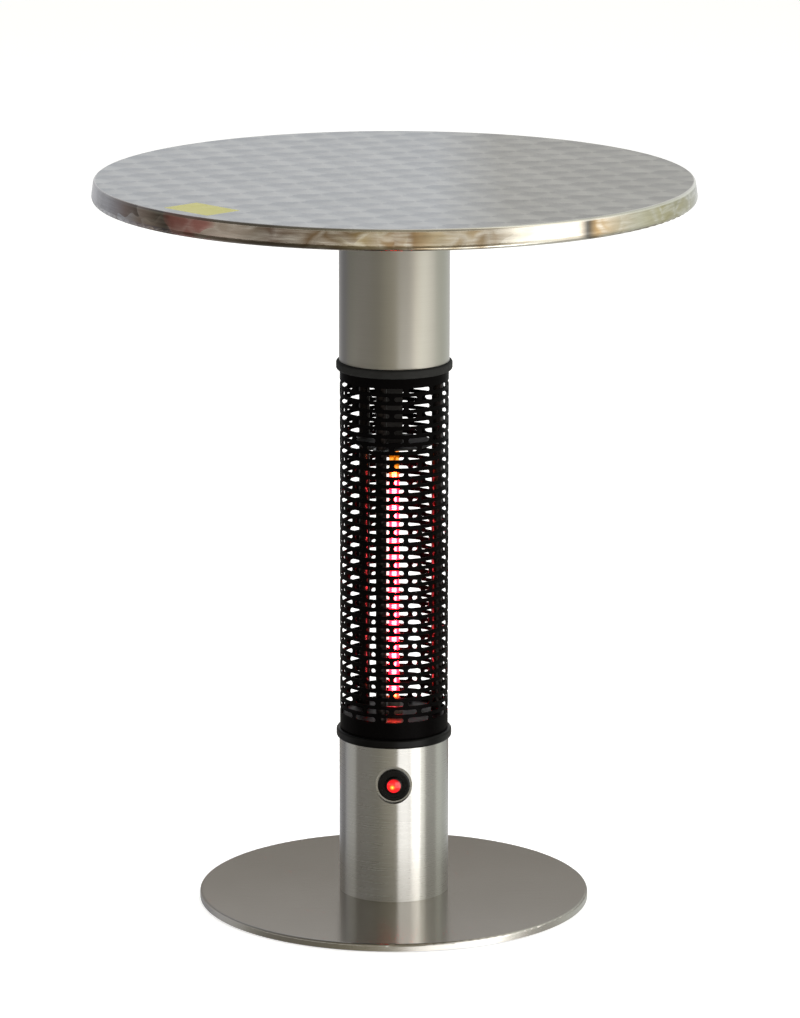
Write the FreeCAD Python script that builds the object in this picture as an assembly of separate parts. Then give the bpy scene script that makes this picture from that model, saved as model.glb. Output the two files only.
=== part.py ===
"""Bistro table with an infrared heater in its column.

Millimetres, +Z up. The origin is on the floor at the middle of the base, and the
push-button faces -Y. Angles round the column run from the front (-Y) towards +X.
"""
import FreeCAD
import Part

import math
import os

from FreeCAD import Vector

# ---- driving dimensions -------------------------------------------------------------
overall_height = 750.0      # floor to tabletop
base_radius = 200.0
column_radius = 56.0        # outside of both steel tubes
tabletop_edge_radius = 302.3    # where the flat top turns down into its rim

# ---- general fits -------------------------------------------------------------------
slip_fit = 0.1              # radial gap between pieces pushed together
hole_clearance = 0.3        # radial gap round a screw or a post in its hole
running_clearance = 0.06    # radial gap of the pendulum on its pin

# ---- base ---------------------------------------------------------------------------
base_height = 8.5           # floor to the top of the base cover
base_sheet = 1.0
base_edge_round = 2.5
base_skirt_gap = 1.0        # floor to the skirt's lower edge
base_plate_thickness = 5.0
base_plate_gap = 0.5        # plate to the cover's skirt
pad_radius = 18.0
pad_inset = 28.0            # base's edge to a pad's middle
pad_count = 6

# ---- column foot --------------------------------------------------------------------
foot_ring_thickness = 5.0
foot_ring_width = 24.7
base_nut_gap = 4.3          # nut's flange to the inside of the tube
base_bolt_count = 4
base_bolt_radius = 4.0
base_bolt_head_radius = 8.0
base_nut_height = 6.5
base_nut_across_flats = 13.0
base_nut_flange_radius = 8.5
base_nut_flange_height = 1.5
bolt_tail = 2.5             # thread left past a nut
post_tail = 0.8

# ---- tubes and rings ----------------------------------------------------------------
tube_wall = 1.2
lower_tube_top = 171.0
ring_height = 9.5
ring_overhang = 3.0         # how far a ring stands out from the tubes
ring_edge_round = 2.5
ring_wall = 2.2
ring_tube_spigot = 12.0
ring_guard_spigot = 9.0

# ---- guard --------------------------------------------------------------------------
guard_step = 0.7            # guard's outside, in from the tubes'
guard_wall = 1.0
guard_length = 374.0
slot_height = 4.8
slot_web = 4.8              # steel left between two slots of a row
slot_pitch = 8.54
slots_round = 12
slot_turn = -2.5            # angle of the top row's first slot from the front
first_slot_height = 20.0    # guard's lower edge to the middle of the lowest slots
last_slot_gap = 12.0        # guard's upper edge to the middle of the top slots, at least

# ---- posts and mount discs ----------------------------------------------------------
post_radius = 5.5
post_bore = 3.0
post_gap = 4.2              # post to the inside of the guard
post_turn = -17.0           # angle of the front post
post_thread_radius = 4.0
post_nut_height = 6.5
post_nut_across_flats = 13.0
mount_disc_thickness = 3.0
mount_disc_bore = 18.0

# ---- reflector pan, lamp and heat shield --------------------------------------------
pan_sheet = 1.0
pan_depth = 5.4
pan_rim_gap = 0.5           # pan to the inside of the guard
lamp_radius = 5.2
lamp_wall = 0.9
lamp_height_in_pan = 12.0   # pan's floor to the quartz tube's lower end
lamp_end_gap = 3.6          # quartz tube's upper end to the underside of the shield
filament_radius = 2.0
filament_start = 4.0        # quartz tube's lower end to the filament
filament_end = 25.0         # filament to the quartz tube's upper end
lead_radius = 0.9
cap_radius = 6.4
cap_overlap = 4.0           # quartz tube inside each ceramic cap
lower_cap_tail = 7.0        # below the pan's floor
cap_flange_radius = 9.0
cap_flange_height = 1.8
upper_cap_length = 22.0
shield_sheet = 1.5
shield_gap = 14.8           # shield's edge to the inside of the guard
shield_drop = 77.0          # guard's upper edge to the underside of the shield
shield_bore = 7.5
shield_ear_radius = 8.5
clip_radius = 8.0
clip_thickness = 1.2
hanger_sheet = 1.0
hanger_width = 17.0
hanger_depth = 14.4
hanger_gap = 0.6            # shield to the hanger's lower end
hanger_foot = 7.0           # how far each foot reaches past the disc's bore

# ---- tabletop -----------------------------------------------------------------------
skin_sheet = 0.8
skin_edge_round = 3.0
skin_flare = 8.0            # degrees that the rim leans out
skin_roll_round = 5.0       # round under the rim
skin_hem = 6.0              # flat hem turned under the board
core_thickness = 19.0
core_gap = 0.3              # board to the start of the skin's top edge round
backing_sheet = 0.8
backing_gap = 3.0           # backing to the board's edge
flange_radius = 100.0
flange_thickness = 4.0
flange_bore = 30.0
flange_screw_circle = 82.0
flange_screw_count = 6
flange_screw_radius = 2.4
flange_screw_depth = 14.0   # into the board
flange_screw_head_radius = 4.6
flange_screw_head_height = 2.6

# ---- push-button switch -------------------------------------------------------------
switch_drop = 38.5          # lower tube's upper end to the middle of the button
seat_radius = 18.5          # flat pressed into the tube for the switch
seat_nut_gap = 0.1918       # tube's inside to the nut's corners, behind the pressed seat
seat_slope = 1.2            # how much wider the pressed seat is at the tube's surface
bezel_radius = 16.5
bezel_thickness = 3.6
bezel_edge_round = 1.6
bezel_step_radius = 12.6
bezel_step_depth = 1.0
gasket_thickness = 0.8
gasket_radius = 15.8
barrel_radius = 13.0
barrel_length = 15.4
switch_body_radius = 12.5
switch_body_length = 20.0
button_radius = 9.0
button_clearance = 0.3
button_proud = 1.4          # button's face in front of the bezel's
button_travel = 3.0
button_length = 9.5
button_flange_radius = 10.6
button_flange_thickness = 1.5
button_bore = 4.0
lens_radius = 7.0
lens_seat_depth = 1.8
lens_dome = 1.8
indicator_radius = 2.2
indicator_length = 12.0
spring_radius = 7.6
spring_wire = 0.8
spring_turns = 4.0
switch_nut_across_flats = 32.0
switch_nut_thickness = 4.5
blade_width = 6.3
blade_thickness = 0.8
blade_length = 8.0
blade_spacing = 12.0

# ---- cable gland --------------------------------------------------------------------
gland_height = 40.0
gland_thread_radius = 9.9
gland_thread_length = 11.0
gland_bore = 6.0
gland_across_flats = 24.0
gland_hex_thickness = 5.0
gland_dome_radius = 11.4
gland_dome_length = 12.0
gland_dome_mouth = 5.0
gland_locknut_thickness = 5.0
cable_radius = 4.0

# ---- electrical chassis -------------------------------------------------------------
bracket_sheet = 1.5
bracket_half_width = 24.0
bracket_foot_half_width = 18.0
bracket_foot_gap = 3.0      # foot's corners to the inside of the tube
bracket_nut_relief = 1.5    # base nuts' flanges to the foot
bracket_face = 10.5         # Y of the bracket's front face
bracket_drop = 24.5         # middle of the button to the bracket's top
block_half_width = 18.0
block_depth = 14.0
block_drop = 32.0           # bracket's top to the block's
block_height = 16.0
block_way = 12.0            # between neighbouring ways
block_groove_width = 1.2
block_groove_depth = 2.0
block_screw_radius = 2.4
block_screw_depth = 4.0
chassis_screw_radius = 2.0
chassis_screw_spacing = 11.0
chassis_screw_inset = 8.0   # foot's back edge to the line of screws
chassis_screw_grip = 4.5    # thread in the foot ring
chassis_head_radius = 3.8
chassis_head_height = 2.4

# ---- tip-over switch ----------------------------------------------------------------
tip_plate = 2.5
tip_half_width = 14.0
tip_inside_depth = 13.5     # between its two plates
tip_drop = 4.0              # bracket's top to the frame's
tip_length = 56.0
tip_pivot_drop = 10.0       # frame's top to the pendulum's pin
tip_pin_radius = 1.5
tip_arm_radius = 30.0       # pivot to the foot of the weight
tip_weight_height = 12.0
tip_weight_half_angle = 19.0
tip_weight_depth = 10.0
tip_arm_thickness = 3.0
tip_arm_half_width = 3.0
tip_boss_radius = 4.0
micro_half_width = 10.0
micro_half_depth = 3.2
micro_height = 10.0
micro_plunger_height = 1.6
micro_plunger_radius = 1.4
micro_gap = 0.5             # plunger to the weight's foot
micro_tab_length = 6.0
micro_tab_spacing = 14.0
tip_screw_radius = 1.5
tip_screw_head_radius = 2.8
tip_screw_head_height = 1.8
tip_screw_spacing = 20.0

# ---- blank label on the tabletop ----------------------------------------------------
label_length = 63.0
label_width = 43.0
label_thickness = 0.2
label_corner_round = 1.5
label_circle = 266.0        # tabletop's middle to the label's
label_place = -44.6         # angle of its middle from the front
label_turn = -46.0          # its long side from +X

# ---- internal wires -----------------------------------------------------------------
wire_radius = 1.4
wire_end_gap = 0.3          # wire's end to the terminal it goes to
arc_share = 0.45            # share of the shorter run that a bend may use

# ---- heights and radii worked out from the above -------------------------------------
tube_bore = column_radius - tube_wall
spigot_radius = tube_bore - slip_fit
foot_ring_bore = spigot_radius - foot_ring_width
base_bolt_circle = tube_bore - base_nut_gap - base_nut_flange_radius
pad_circle = base_radius - pad_inset
guard_radius = column_radius - guard_step
guard_bore = guard_radius - guard_wall
guard_spigot = guard_bore - slip_fit
ring_bore = guard_spigot - ring_wall
post_circle = guard_bore - post_gap - post_radius
shield_radius = guard_bore - shield_gap
guard_bottom = lower_tube_top + ring_height
guard_top = guard_bottom + guard_length
upper_tube_bottom = guard_top + ring_height
lower_disc_top = lower_tube_top - ring_tube_spigot
upper_disc_bottom = upper_tube_bottom + ring_tube_spigot
skin_underside = overall_height - skin_sheet
core_bottom = skin_underside - core_thickness
backing_bottom = core_bottom - backing_sheet
upper_tube_top = backing_bottom - flange_thickness
rim_bottom = backing_bottom - skin_sheet
pan_bottom = guard_bottom + ring_guard_spigot
pan_floor = pan_bottom + pan_depth
shield_height = guard_top - shield_drop
lamp_bottom = pan_floor + lamp_height_in_pan
lamp_top = shield_height - lamp_end_gap
filament_bottom = lamp_bottom + filament_start
filament_top = lamp_top - filament_end
switch_height = lower_tube_top - switch_drop
bracket_top = switch_height - bracket_drop
block_top = bracket_top - block_drop
block_bottom = block_top - block_height
tip_top = bracket_top - tip_drop
tip_bottom = tip_top - tip_length
tip_pivot_height = tip_top - tip_pivot_drop
nut_corner = switch_nut_across_flats / math.sqrt(3)
seat_y = seat_nut_gap - tube_wall - math.sqrt(tube_bore ** 2 - nut_corner ** 2)
seat_depth = column_radius + seat_y
bezel_back = seat_y - gasket_thickness
bezel_front = bezel_back - bezel_thickness
button_front = bezel_front - button_proud
button_back = button_front + button_length
barrel_end = bezel_back + barrel_length
body_end = barrel_end + switch_body_length
blade_end = body_end + blade_length
bracket_back = bracket_face + bracket_sheet
bracket_foot_end = math.sqrt(tube_bore ** 2 - bracket_foot_half_width ** 2)
bracket_foot_end -= bracket_foot_gap
foot_ring_top = base_height + foot_ring_thickness
bracket_foot_top = foot_ring_top + bracket_sheet
slot_rows = int((guard_length - first_slot_height - last_slot_gap) / slot_pitch) + 1
post_end_length = mount_disc_thickness + post_nut_height + post_tail
post_names = ("post_front", "post_right", "post_left")
micro_top = tip_pivot_height - tip_arm_radius - micro_gap - micro_plunger_height


# ---- small shapes -------------------------------------------------------------------
def around(radius, degrees):
    """X and Y of a point round the column, the angle from the front towards +X."""
    a = math.radians(degrees)
    return radius * math.sin(a), -radius * math.cos(a)


def circle_angles(count, first=0.0):
    return [first + 360.0 * i / count for i in range(count)]


def rod(radius, z0, z1, x=0.0, y=0.0):
    return Part.makeCylinder(radius, z1 - z0, Vector(x, y, z0))


def pipe(outer, inner, z0, z1):
    return rod(outer, z0, z1).cut(rod(inner, z0, z1))


def rod_y(radius, y0, y1, x=0.0, z=0.0):
    return Part.makeCylinder(radius, y1 - y0, Vector(x, y0, z), Vector(0, 1, 0))


def block(x0, x1, y0, y1, z0, z1):
    return Part.makeBox(x1 - x0, y1 - y0, z1 - z0, Vector(x0, y0, z0))


def hexagon(across_flats, z0, z1, x=0.0, y=0.0):
    corner = across_flats / math.sqrt(3)
    corners = [Vector(x + corner * math.cos(a), y + corner * math.sin(a), z0)
               for a in (math.radians(60 * i) for i in range(7))]
    return Part.Face(Part.makePolygon(corners)).extrude(Vector(0, 0, z1 - z0))


def along_y(shape, y0, z):
    """Turns a shape made up the Z axis from z=0 so that it runs from y0 along +Y."""
    turned = shape.copy()
    turned.rotate(Vector(0, 0, 0), Vector(1, 0, 0), -90)
    turned.translate(Vector(0, y0, z))
    return turned


def revolved(edges):
    """Revolves a closed outline in the XZ plane about the Z axis."""
    face = Part.Face(Part.Wire(Part.__sortEdges__(edges)))
    return face.revolve(Vector(0, 0, 0), Vector(0, 0, 1), 360)


def outline(*points):
    """Closed edges through (r, z) points. An arc is given as its (middle, end) points."""
    edges = []
    last = points[0]
    for p in points[1:]:
        if isinstance(p[0], tuple):
            middle, end = p
            edges.append(Part.Arc(on_xz(last), on_xz(middle), on_xz(end)).toShape())
            last = end
        else:
            edges.append(Part.makeLine(on_xz(last), on_xz(p)))
            last = p
    if math.dist(last, points[0]) > 0.001:
        edges.append(Part.makeLine(on_xz(last), on_xz(points[0])))
    return edges


def on_xz(point):
    return Vector(point[0], 0, point[1])


def polar(centre, radius, degrees):
    a = math.radians(degrees)
    return centre[0] + radius * math.cos(a), centre[1] + radius * math.sin(a)


def arc_to(centre, radius, start, end):
    """The middle and end of an arc, as outline() takes it."""
    return polar(centre, radius, (start + end) / 2), polar(centre, radius, end)


def together(shapes):
    """Separate solids in one node."""
    return Part.makeCompound(list(shapes))


def copies(shape, radius, angles):
    """Copies of a shape made on the Z axis, moved out to a circle."""
    made = []
    for angle in angles:
        x, y = around(radius, angle)
        copy = shape.copy()
        copy.translate(Vector(x, y, 0))
        made.append(copy)
    return made


# ---- base ---------------------------------------------------------------------------
def base_cover():
    top, edge = base_height, base_edge_round
    corner = (base_radius - edge, top - edge)
    inner = edge - base_sheet
    shell = revolved(outline(
        (0, top), polar(corner, edge, 90), arc_to(corner, edge, 90, 0),
        (base_radius, base_skirt_gap), (base_radius - base_sheet, base_skirt_gap),
        polar(corner, inner, 0), arc_to(corner, inner, 0, 90), (0, top - base_sheet),
    ))
    return shell.cut(together(base_bolt_holes()))


def base_bolt_holes():
    hole = rod(base_bolt_radius + hole_clearance, 0, foot_ring_top)
    return copies(hole, base_bolt_circle, base_bolt_angles())


def base_bolt_angles():
    return circle_angles(base_bolt_count, 180.0 / base_bolt_count)


def base_plate():
    top = base_height - base_sheet
    bottom = top - base_plate_thickness
    edge = base_edge_round
    radius = base_radius - base_sheet - base_plate_gap
    plate = Part.makeCylinder(radius, base_plate_thickness, Vector(0, 0, bottom))
    bevel = revolved(outline((radius - edge, top), (radius, top), (radius, top - edge)))
    heads = copies(bolt_head(hole_clearance), base_bolt_circle, base_bolt_angles())
    return plate.cut(bevel).cut(together(heads + base_bolt_holes()))


def bolt_head(grow=0.0):
    """Countersunk head, flush with the underside of the base plate."""
    bottom = base_height - base_sheet - base_plate_thickness
    depth = base_bolt_head_radius - base_bolt_radius
    return Part.makeCone(base_bolt_head_radius + grow, base_bolt_radius + grow, depth,
                         Vector(0, 0, bottom))


def base_pads():
    thickness = base_height - base_sheet - base_plate_thickness
    pad = rod(pad_radius, 0, thickness)
    pad = pad.makeFillet(thickness * 0.3, [pad.Edges[2]])
    return together(copies(pad, pad_circle, circle_angles(pad_count)))


def base_bolts():
    nut_top = foot_ring_top + base_nut_height
    shank = rod(base_bolt_radius, bolt_head().BoundBox.ZMin, nut_top + bolt_tail)
    bolt = shank.fuse(bolt_head()).removeSplitter()
    return together(copies(bolt, base_bolt_circle, base_bolt_angles()))


def base_nuts():
    nut = hexagon(base_nut_across_flats, foot_ring_top, foot_ring_top + base_nut_height)
    nut = nut.fuse(rod(base_nut_flange_radius, foot_ring_top,
                       foot_ring_top + base_nut_flange_height))
    nut = nut.cut(rod(base_bolt_radius + slip_fit, 0, overall_height))
    return together(copies(nut, base_bolt_circle, base_bolt_angles()))


def foot_ring():
    ring = pipe(spigot_radius, foot_ring_bore, base_height, foot_ring_top)
    return ring.cut(together(base_bolt_holes() + chassis_screw_holes()))


# ---- steel tubes --------------------------------------------------------------------
def lower_tube():
    tube = pipe(column_radius, tube_bore, base_height, lower_tube_top)
    depth = seat_depth + tube_wall
    slope = seat_slope / seat_depth
    hollow = along_y(Part.makeCone(seat_radius + 2 * seat_slope, seat_radius,
                                   2 * seat_depth),
                     seat_y - 2 * seat_depth, switch_height)
    dish = along_y(Part.makeCone(seat_radius + tube_wall + seat_slope,
                                 seat_radius + tube_wall - slope * tube_wall, depth),
                   -column_radius, switch_height)
    dish = dish.common(rod(column_radius, base_height, lower_tube_top))
    tube = tube.fuse(dish).cut(hollow).removeSplitter()
    tube = tube.cut(rod_y(barrel_radius + hole_clearance, -column_radius, 0,
                          z=switch_height))
    return tube.cut(rod_y(gland_thread_radius + hole_clearance, 0, column_radius + 1,
                          z=gland_height))


def upper_tube():
    return pipe(column_radius, tube_bore, upper_tube_bottom, upper_tube_top)


# ---- rings between the tubes and the guard ------------------------------------------
def lower_ring():
    """Moulded collar: a spigot down into the tube and one up into the guard."""
    z0, z1, edge = lower_tube_top, guard_bottom, ring_edge_round
    outside = column_radius + ring_overhang
    low, high = (outside - edge, z0 + edge), (outside - edge, z1 - edge)
    return revolved(outline(
        (ring_bore, lower_disc_top), (spigot_radius, lower_disc_top),
        (spigot_radius, z0), polar(low, edge, -90), arc_to(low, edge, -90, 0),
        polar(high, edge, 0), arc_to(high, edge, 0, 90), (guard_spigot, z1),
        (guard_spigot, pan_bottom), (ring_bore, pan_bottom),
    ))


def upper_ring():
    ring = lower_ring()
    ring.rotate(Vector(0, 0, 0), Vector(1, 0, 0), 180)
    ring.translate(Vector(0, 0, lower_tube_top + upper_tube_bottom))
    return ring


# ---- guard --------------------------------------------------------------------------
def slot_cutter(height, angle):
    half_height = slot_height / 2
    half_angle = math.pi / slots_round - slot_web / (2 * guard_radius)
    reach = guard_radius * math.sin(half_angle) - half_height
    left, right = (-reach, height), (reach, height)
    face = Part.Face(Part.Wire(Part.__sortEdges__(outline(
        polar(left, half_height, -90), polar(right, half_height, -90),
        arc_to(right, half_height, -90, 90), polar(left, half_height, 90),
        arc_to(left, half_height, 90, 270),
    ))))
    inside = guard_bore - 2 * guard_wall
    face.translate(Vector(0, -inside, 0))
    cutter = face.extrude(Vector(0, inside - guard_radius - guard_wall, 0))
    cutter.rotate(Vector(0, 0, 0), Vector(0, 0, 1), angle)
    return cutter


def guard():
    shell = pipe(guard_radius, guard_bore, guard_bottom, guard_top)
    half_step = 180.0 / slots_round
    cutters = []
    for row in range(slot_rows):
        height = guard_bottom + first_slot_height + row * slot_pitch
        turn = slot_turn + half_step * ((slot_rows - 1 - row) % 2)
        cutters += [slot_cutter(height, a) for a in circle_angles(slots_round, turn)]
    return shell.cut(together(cutters))


# ---- posts, mount discs, nuts -------------------------------------------------------
def post_angles():
    return circle_angles(len(post_names), post_turn)


def post():
    shank = rod(post_radius, lower_disc_top, upper_disc_bottom)
    shank = shank.fuse(rod(post_thread_radius, lower_disc_top - post_end_length,
                           upper_disc_bottom + post_end_length))
    return shank.cut(rod(post_bore, 0, overall_height))


def post_nuts():
    nuts = []
    for z0 in (lower_disc_top - mount_disc_thickness - post_nut_height,
               upper_disc_bottom + mount_disc_thickness):
        nut = hexagon(post_nut_across_flats, z0, z0 + post_nut_height)
        nut = nut.cut(rod(post_thread_radius + slip_fit, 0, overall_height))
        nuts += copies(nut, post_circle, post_angles())
    return together(nuts)


def mount_disc(z0):
    disc = pipe(spigot_radius, mount_disc_bore, z0, z0 + mount_disc_thickness)
    hole = rod(post_thread_radius + hole_clearance, 0, overall_height)
    return disc.cut(together(copies(hole, post_circle, post_angles())))


# ---- reflector pan, lamp, shield ----------------------------------------------------
def post_holes(radius):
    return together(copies(rod(radius, 0, overall_height), post_circle, post_angles()))


def reflector_pan():
    outside = guard_bore - pan_rim_gap
    pan = revolved(outline(
        (cap_radius + hole_clearance, pan_floor), (outside, pan_floor),
        (outside, pan_bottom), (outside - pan_sheet, pan_bottom),
        (outside - pan_sheet, pan_floor - pan_sheet),
        (cap_radius + hole_clearance, pan_floor - pan_sheet),
    ))
    return pan.cut(post_holes(post_radius + hole_clearance))


def lamp_tube():
    return pipe(lamp_radius, lamp_radius - lamp_wall, lamp_bottom, lamp_top)


def lamp_filament():
    return rod(filament_radius, filament_bottom, filament_top)


def lamp_leads():
    lower = rod(lead_radius, lamp_bottom - cap_overlap, filament_bottom)
    upper = rod(lead_radius, filament_top, lamp_top)
    return together([lower, upper])


def lamp_cap_lower():
    cap = rod(cap_radius, pan_floor - lower_cap_tail, lamp_bottom + cap_overlap)
    cap = cap.fuse(rod(cap_flange_radius, pan_floor, pan_floor + cap_flange_height))
    cap = cap.cut(rod(lamp_radius + slip_fit, lamp_bottom, lamp_top))
    return cap.cut(rod(lead_radius + slip_fit, lamp_bottom - cap_overlap, lamp_top))


def lamp_cap_upper():
    bottom = lamp_top - cap_overlap
    cap = rod(cap_radius, bottom, bottom + upper_cap_length)
    return cap.cut(rod(lamp_radius + slip_fit, bottom, lamp_top))


def heat_shield():
    top = shield_height + shield_sheet
    disc = rod(shield_radius, shield_height, top)
    disc = disc.fuse(copies(rod(shield_ear_radius, shield_height, top),
                            post_circle, post_angles()))
    disc = disc.cut(rod(shield_bore, 0, overall_height)).removeSplitter()
    return disc.cut(post_holes(post_radius + hole_clearance))


def shield_clips():
    clips = []
    for z0 in (shield_height - clip_thickness, shield_height + shield_sheet):
        clip = pipe(clip_radius, post_radius + slip_fit, z0, z0 + clip_thickness)
        clips += copies(clip, post_circle, post_angles())
    return together(clips)


def lamp_hanger():
    """Channel that hangs from the upper disc, open at the back, round the lamp's cap."""
    half, deep, sheet = hanger_width / 2, hanger_depth / 2, hanger_sheet
    z0, z1 = shield_height + shield_sheet + hanger_gap, upper_disc_bottom
    channel = block(-half, half, -deep - sheet, deep, z0, z1)
    channel = channel.cut(block(-half + sheet, half - sheet, -deep, deep, z0, z1))
    reach = mount_disc_bore + hanger_foot
    for side in (-1, 1):
        near, far = sorted((side * (half - sheet), side * reach))
        channel = channel.fuse(block(near, far, -deep - sheet, deep, z1 - sheet, z1))
    return channel.removeSplitter()


# ---- tabletop -----------------------------------------------------------------------
def tabletop_skin():
    """Steel skin: flat top, rounded edge, flared rim rolled under into a flat hem.

    The label is let into the top by its own thickness, so that the top stays flat."""
    flare, sheet = skin_flare, skin_sheet
    edge, roll = skin_edge_round, skin_roll_round
    top_centre = (tabletop_edge_radius - edge, overall_height - edge)
    wall_top = polar(top_centre, edge, flare)
    roll_height = rim_bottom + roll
    drop = wall_top[1] - polar((0, roll_height), roll, flare)[1]
    wall_foot = wall_top[0] + drop * math.tan(math.radians(flare))
    roll_centre = (wall_foot - roll * math.cos(math.radians(flare)), roll_height)
    hem_end = roll_centre[0] - skin_hem
    skin = revolved(outline(
        (0, overall_height), polar(top_centre, edge, 90),
        arc_to(top_centre, edge, 90, flare), polar(roll_centre, roll, flare),
        arc_to(roll_centre, roll, flare, -90), (hem_end, rim_bottom),
        (hem_end, rim_bottom + sheet), polar(roll_centre, roll - sheet, -90),
        arc_to(roll_centre, roll - sheet, -90, flare),
        polar(top_centre, edge - sheet, flare),
        arc_to(top_centre, edge - sheet, flare, 90), (0, overall_height - sheet),
    ))
    return skin.cut(blank_label())


def core_radius():
    return tabletop_edge_radius - skin_edge_round - core_gap


def flange_screw_holes(radius, z1):
    return together(copies(rod(radius, 0, z1), flange_screw_circle, flange_screw_angles()))


def flange_screw_angles():
    return circle_angles(flange_screw_count, 180.0 / flange_screw_count)


def tabletop_core():
    board = rod(core_radius(), core_bottom, skin_underside)
    tip = core_bottom + flange_screw_depth + slip_fit
    return board.cut(flange_screw_holes(flange_screw_radius + slip_fit, tip))


def tabletop_backing():
    sheet = rod(core_radius() - backing_gap, backing_bottom, core_bottom)
    return sheet.cut(flange_screw_holes(flange_screw_radius + hole_clearance,
                                        overall_height))


def top_flange():
    plate = pipe(flange_radius, flange_bore, upper_tube_top, backing_bottom)
    return plate.cut(flange_screw_holes(flange_screw_radius + hole_clearance,
                                        overall_height))


def flange_screws():
    head_bottom = upper_tube_top - flange_screw_head_height
    shank = rod(flange_screw_radius, head_bottom, core_bottom + flange_screw_depth)
    head = rod(flange_screw_head_radius, head_bottom, upper_tube_top)
    head = head.makeChamfer(flange_screw_head_height * 0.35, [head.Edges[2]])
    recess = hexagon(flange_screw_head_radius * 0.8, head_bottom,
                     head_bottom + flange_screw_head_height * 0.7)
    screw = shank.fuse(head).cut(recess)
    return together(copies(screw, flange_screw_circle, flange_screw_angles()))


def blank_label():
    label = block(-label_length / 2, label_length / 2, -label_width / 2, label_width / 2,
                  overall_height - label_thickness, overall_height)
    corners = [e for e in label.Edges if e.BoundBox.XLength + e.BoundBox.YLength < 0.01]
    label = label.makeFillet(label_corner_round, corners)
    label.rotate(Vector(0, 0, 0), Vector(0, 0, 1), label_turn)
    x, y = around(label_circle, label_place)
    label.translate(Vector(x, y, 0))
    return label


# ---- push-button switch, its axis along Y --------------------------------------------
def switch_gasket():
    ring = pipe(gasket_radius, barrel_radius + slip_fit, 0, gasket_thickness)
    return along_y(ring, bezel_back, switch_height)


def switch_bezel():
    """Flange, barrel and a stepped bore with a shoulder that keeps the button in."""
    front, step = bezel_edge_round, bezel_step_depth
    bore = button_radius + button_clearance
    wide = button_flange_radius + button_clearance
    corner = (bezel_radius - front, front)
    shoulder = shoulder_y() - bezel_front
    end = barrel_end - bezel_front
    bezel = revolved(outline(
        (bore, step), (bezel_step_radius, step), (bezel_step_radius, 0),
        polar(corner, front, -90), arc_to(corner, front, -90, 0),
        (bezel_radius, bezel_thickness), (barrel_radius, bezel_thickness),
        (barrel_radius, end), (wide, end), (wide, shoulder), (bore, shoulder),
    ))
    return along_y(bezel, bezel_front, switch_height)


def shoulder_y():
    """Y of the face inside the bezel that the button's flange rests against."""
    return button_back - button_flange_thickness - button_clearance


def switch_nut():
    nut = hexagon(switch_nut_across_flats, 0, switch_nut_thickness)
    nut = nut.cut(rod(barrel_radius + slip_fit, 0, switch_nut_thickness))
    return along_y(nut, seat_y + tube_wall, switch_height)


def switch_body():
    body = rod(switch_body_radius, 0, switch_body_length)
    half = switch_body_radius * 0.8
    flat = block(-half, half, -half, half, switch_body_length * 0.3, switch_body_length)
    body = rod(switch_body_radius, 0, switch_body_length * 0.3).fuse(body.common(flat))
    return along_y(body, barrel_end, switch_height)


def blade_offsets():
    return -blade_spacing / 2, blade_spacing / 2


def switch_terminals():
    half_width, half_thick = blade_width / 2, blade_thickness / 2
    return together(
        block(x - half_thick, x + half_thick, body_end, blade_end,
              switch_height - half_width, switch_height + half_width)
        for x in blade_offsets()
    )


def indicator_lamp():
    bulb = rod(indicator_radius, indicator_radius, indicator_length)
    tip = Part.makeSphere(indicator_radius, Vector(0, 0, indicator_radius))
    return along_y(bulb.fuse(tip), barrel_end - indicator_length, switch_height)


def button_cap():
    seat = lens_seat_depth
    cap = rod(button_radius, 0, button_length)
    cap = cap.makeFillet(button_radius - lens_radius - 4 * slip_fit, [cap.Edges[2]])
    flange_front = button_length - button_flange_thickness
    cap = cap.fuse(rod(button_flange_radius, flange_front, button_length))
    cap = cap.cut(rod(lens_radius + slip_fit, 0, seat))
    cap = cap.cut(rod(button_bore, 0, button_length))
    return along_y(cap, button_front, switch_height)


def button_lens():
    seat = lens_seat_depth
    sphere_radius = (lens_radius ** 2 + lens_dome ** 2) / (2 * lens_dome)
    dome = Part.makeSphere(sphere_radius, Vector(0, 0, sphere_radius - lens_dome))
    dome = dome.common(rod(lens_radius, -lens_dome, 0))
    lens = dome.fuse(rod(lens_radius, 0, seat)).removeSplitter()
    return along_y(lens, button_front, switch_height)


def button_spring():
    """Coil between the back of the button and the front of the switch body."""
    room = barrel_end - button_back
    rise = room - spring_wire - 4 * slip_fit
    pitch = rise / spring_turns
    count = math.ceil(2 * spring_turns)     # short lengths, half a turn or less each
    lead = Vector(0, 2 * math.pi * spring_radius, pitch)
    section = Part.Wire(Part.makeCircle(spring_wire / 2, Vector(spring_radius, 0, 0), lead))
    helix = Part.makeHelix(pitch, rise / count, spring_radius)
    length = Part.Wire(helix).makePipeShell([section], True, True)
    lengths = []
    for i in range(count):
        piece = length.copy()
        piece.rotate(Vector(0, 0, 0), Vector(0, 0, 1), 360 * spring_turns / count * i)
        piece.translate(Vector(0, 0, rise / count * i))
        lengths.append(piece)
    coil = lengths[0].multiFuse(lengths[1:])
    start = button_back + spring_wire / 2 + 2 * slip_fit
    return along_y(coil, start, switch_height)


# ---- cable gland, its axis along Y ---------------------------------------------------
def gland_body():
    hexed = hexagon(gland_across_flats, gland_thread_length,
                    gland_thread_length + gland_hex_thickness)
    body = hexed.fuse(rod(gland_thread_radius, 0, gland_thread_length))
    body = body.cut(rod(gland_bore, 0, gland_thread_length + gland_hex_thickness))
    return along_y(body, gland_inner_y(), gland_height)


def gland_inner_y():
    """Y of the gland's inner end: its hexagon seats on the back of the tube."""
    return column_radius + slip_fit - gland_thread_length


def gland_outer_y():
    return gland_inner_y() + gland_thread_length + gland_hex_thickness


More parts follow.
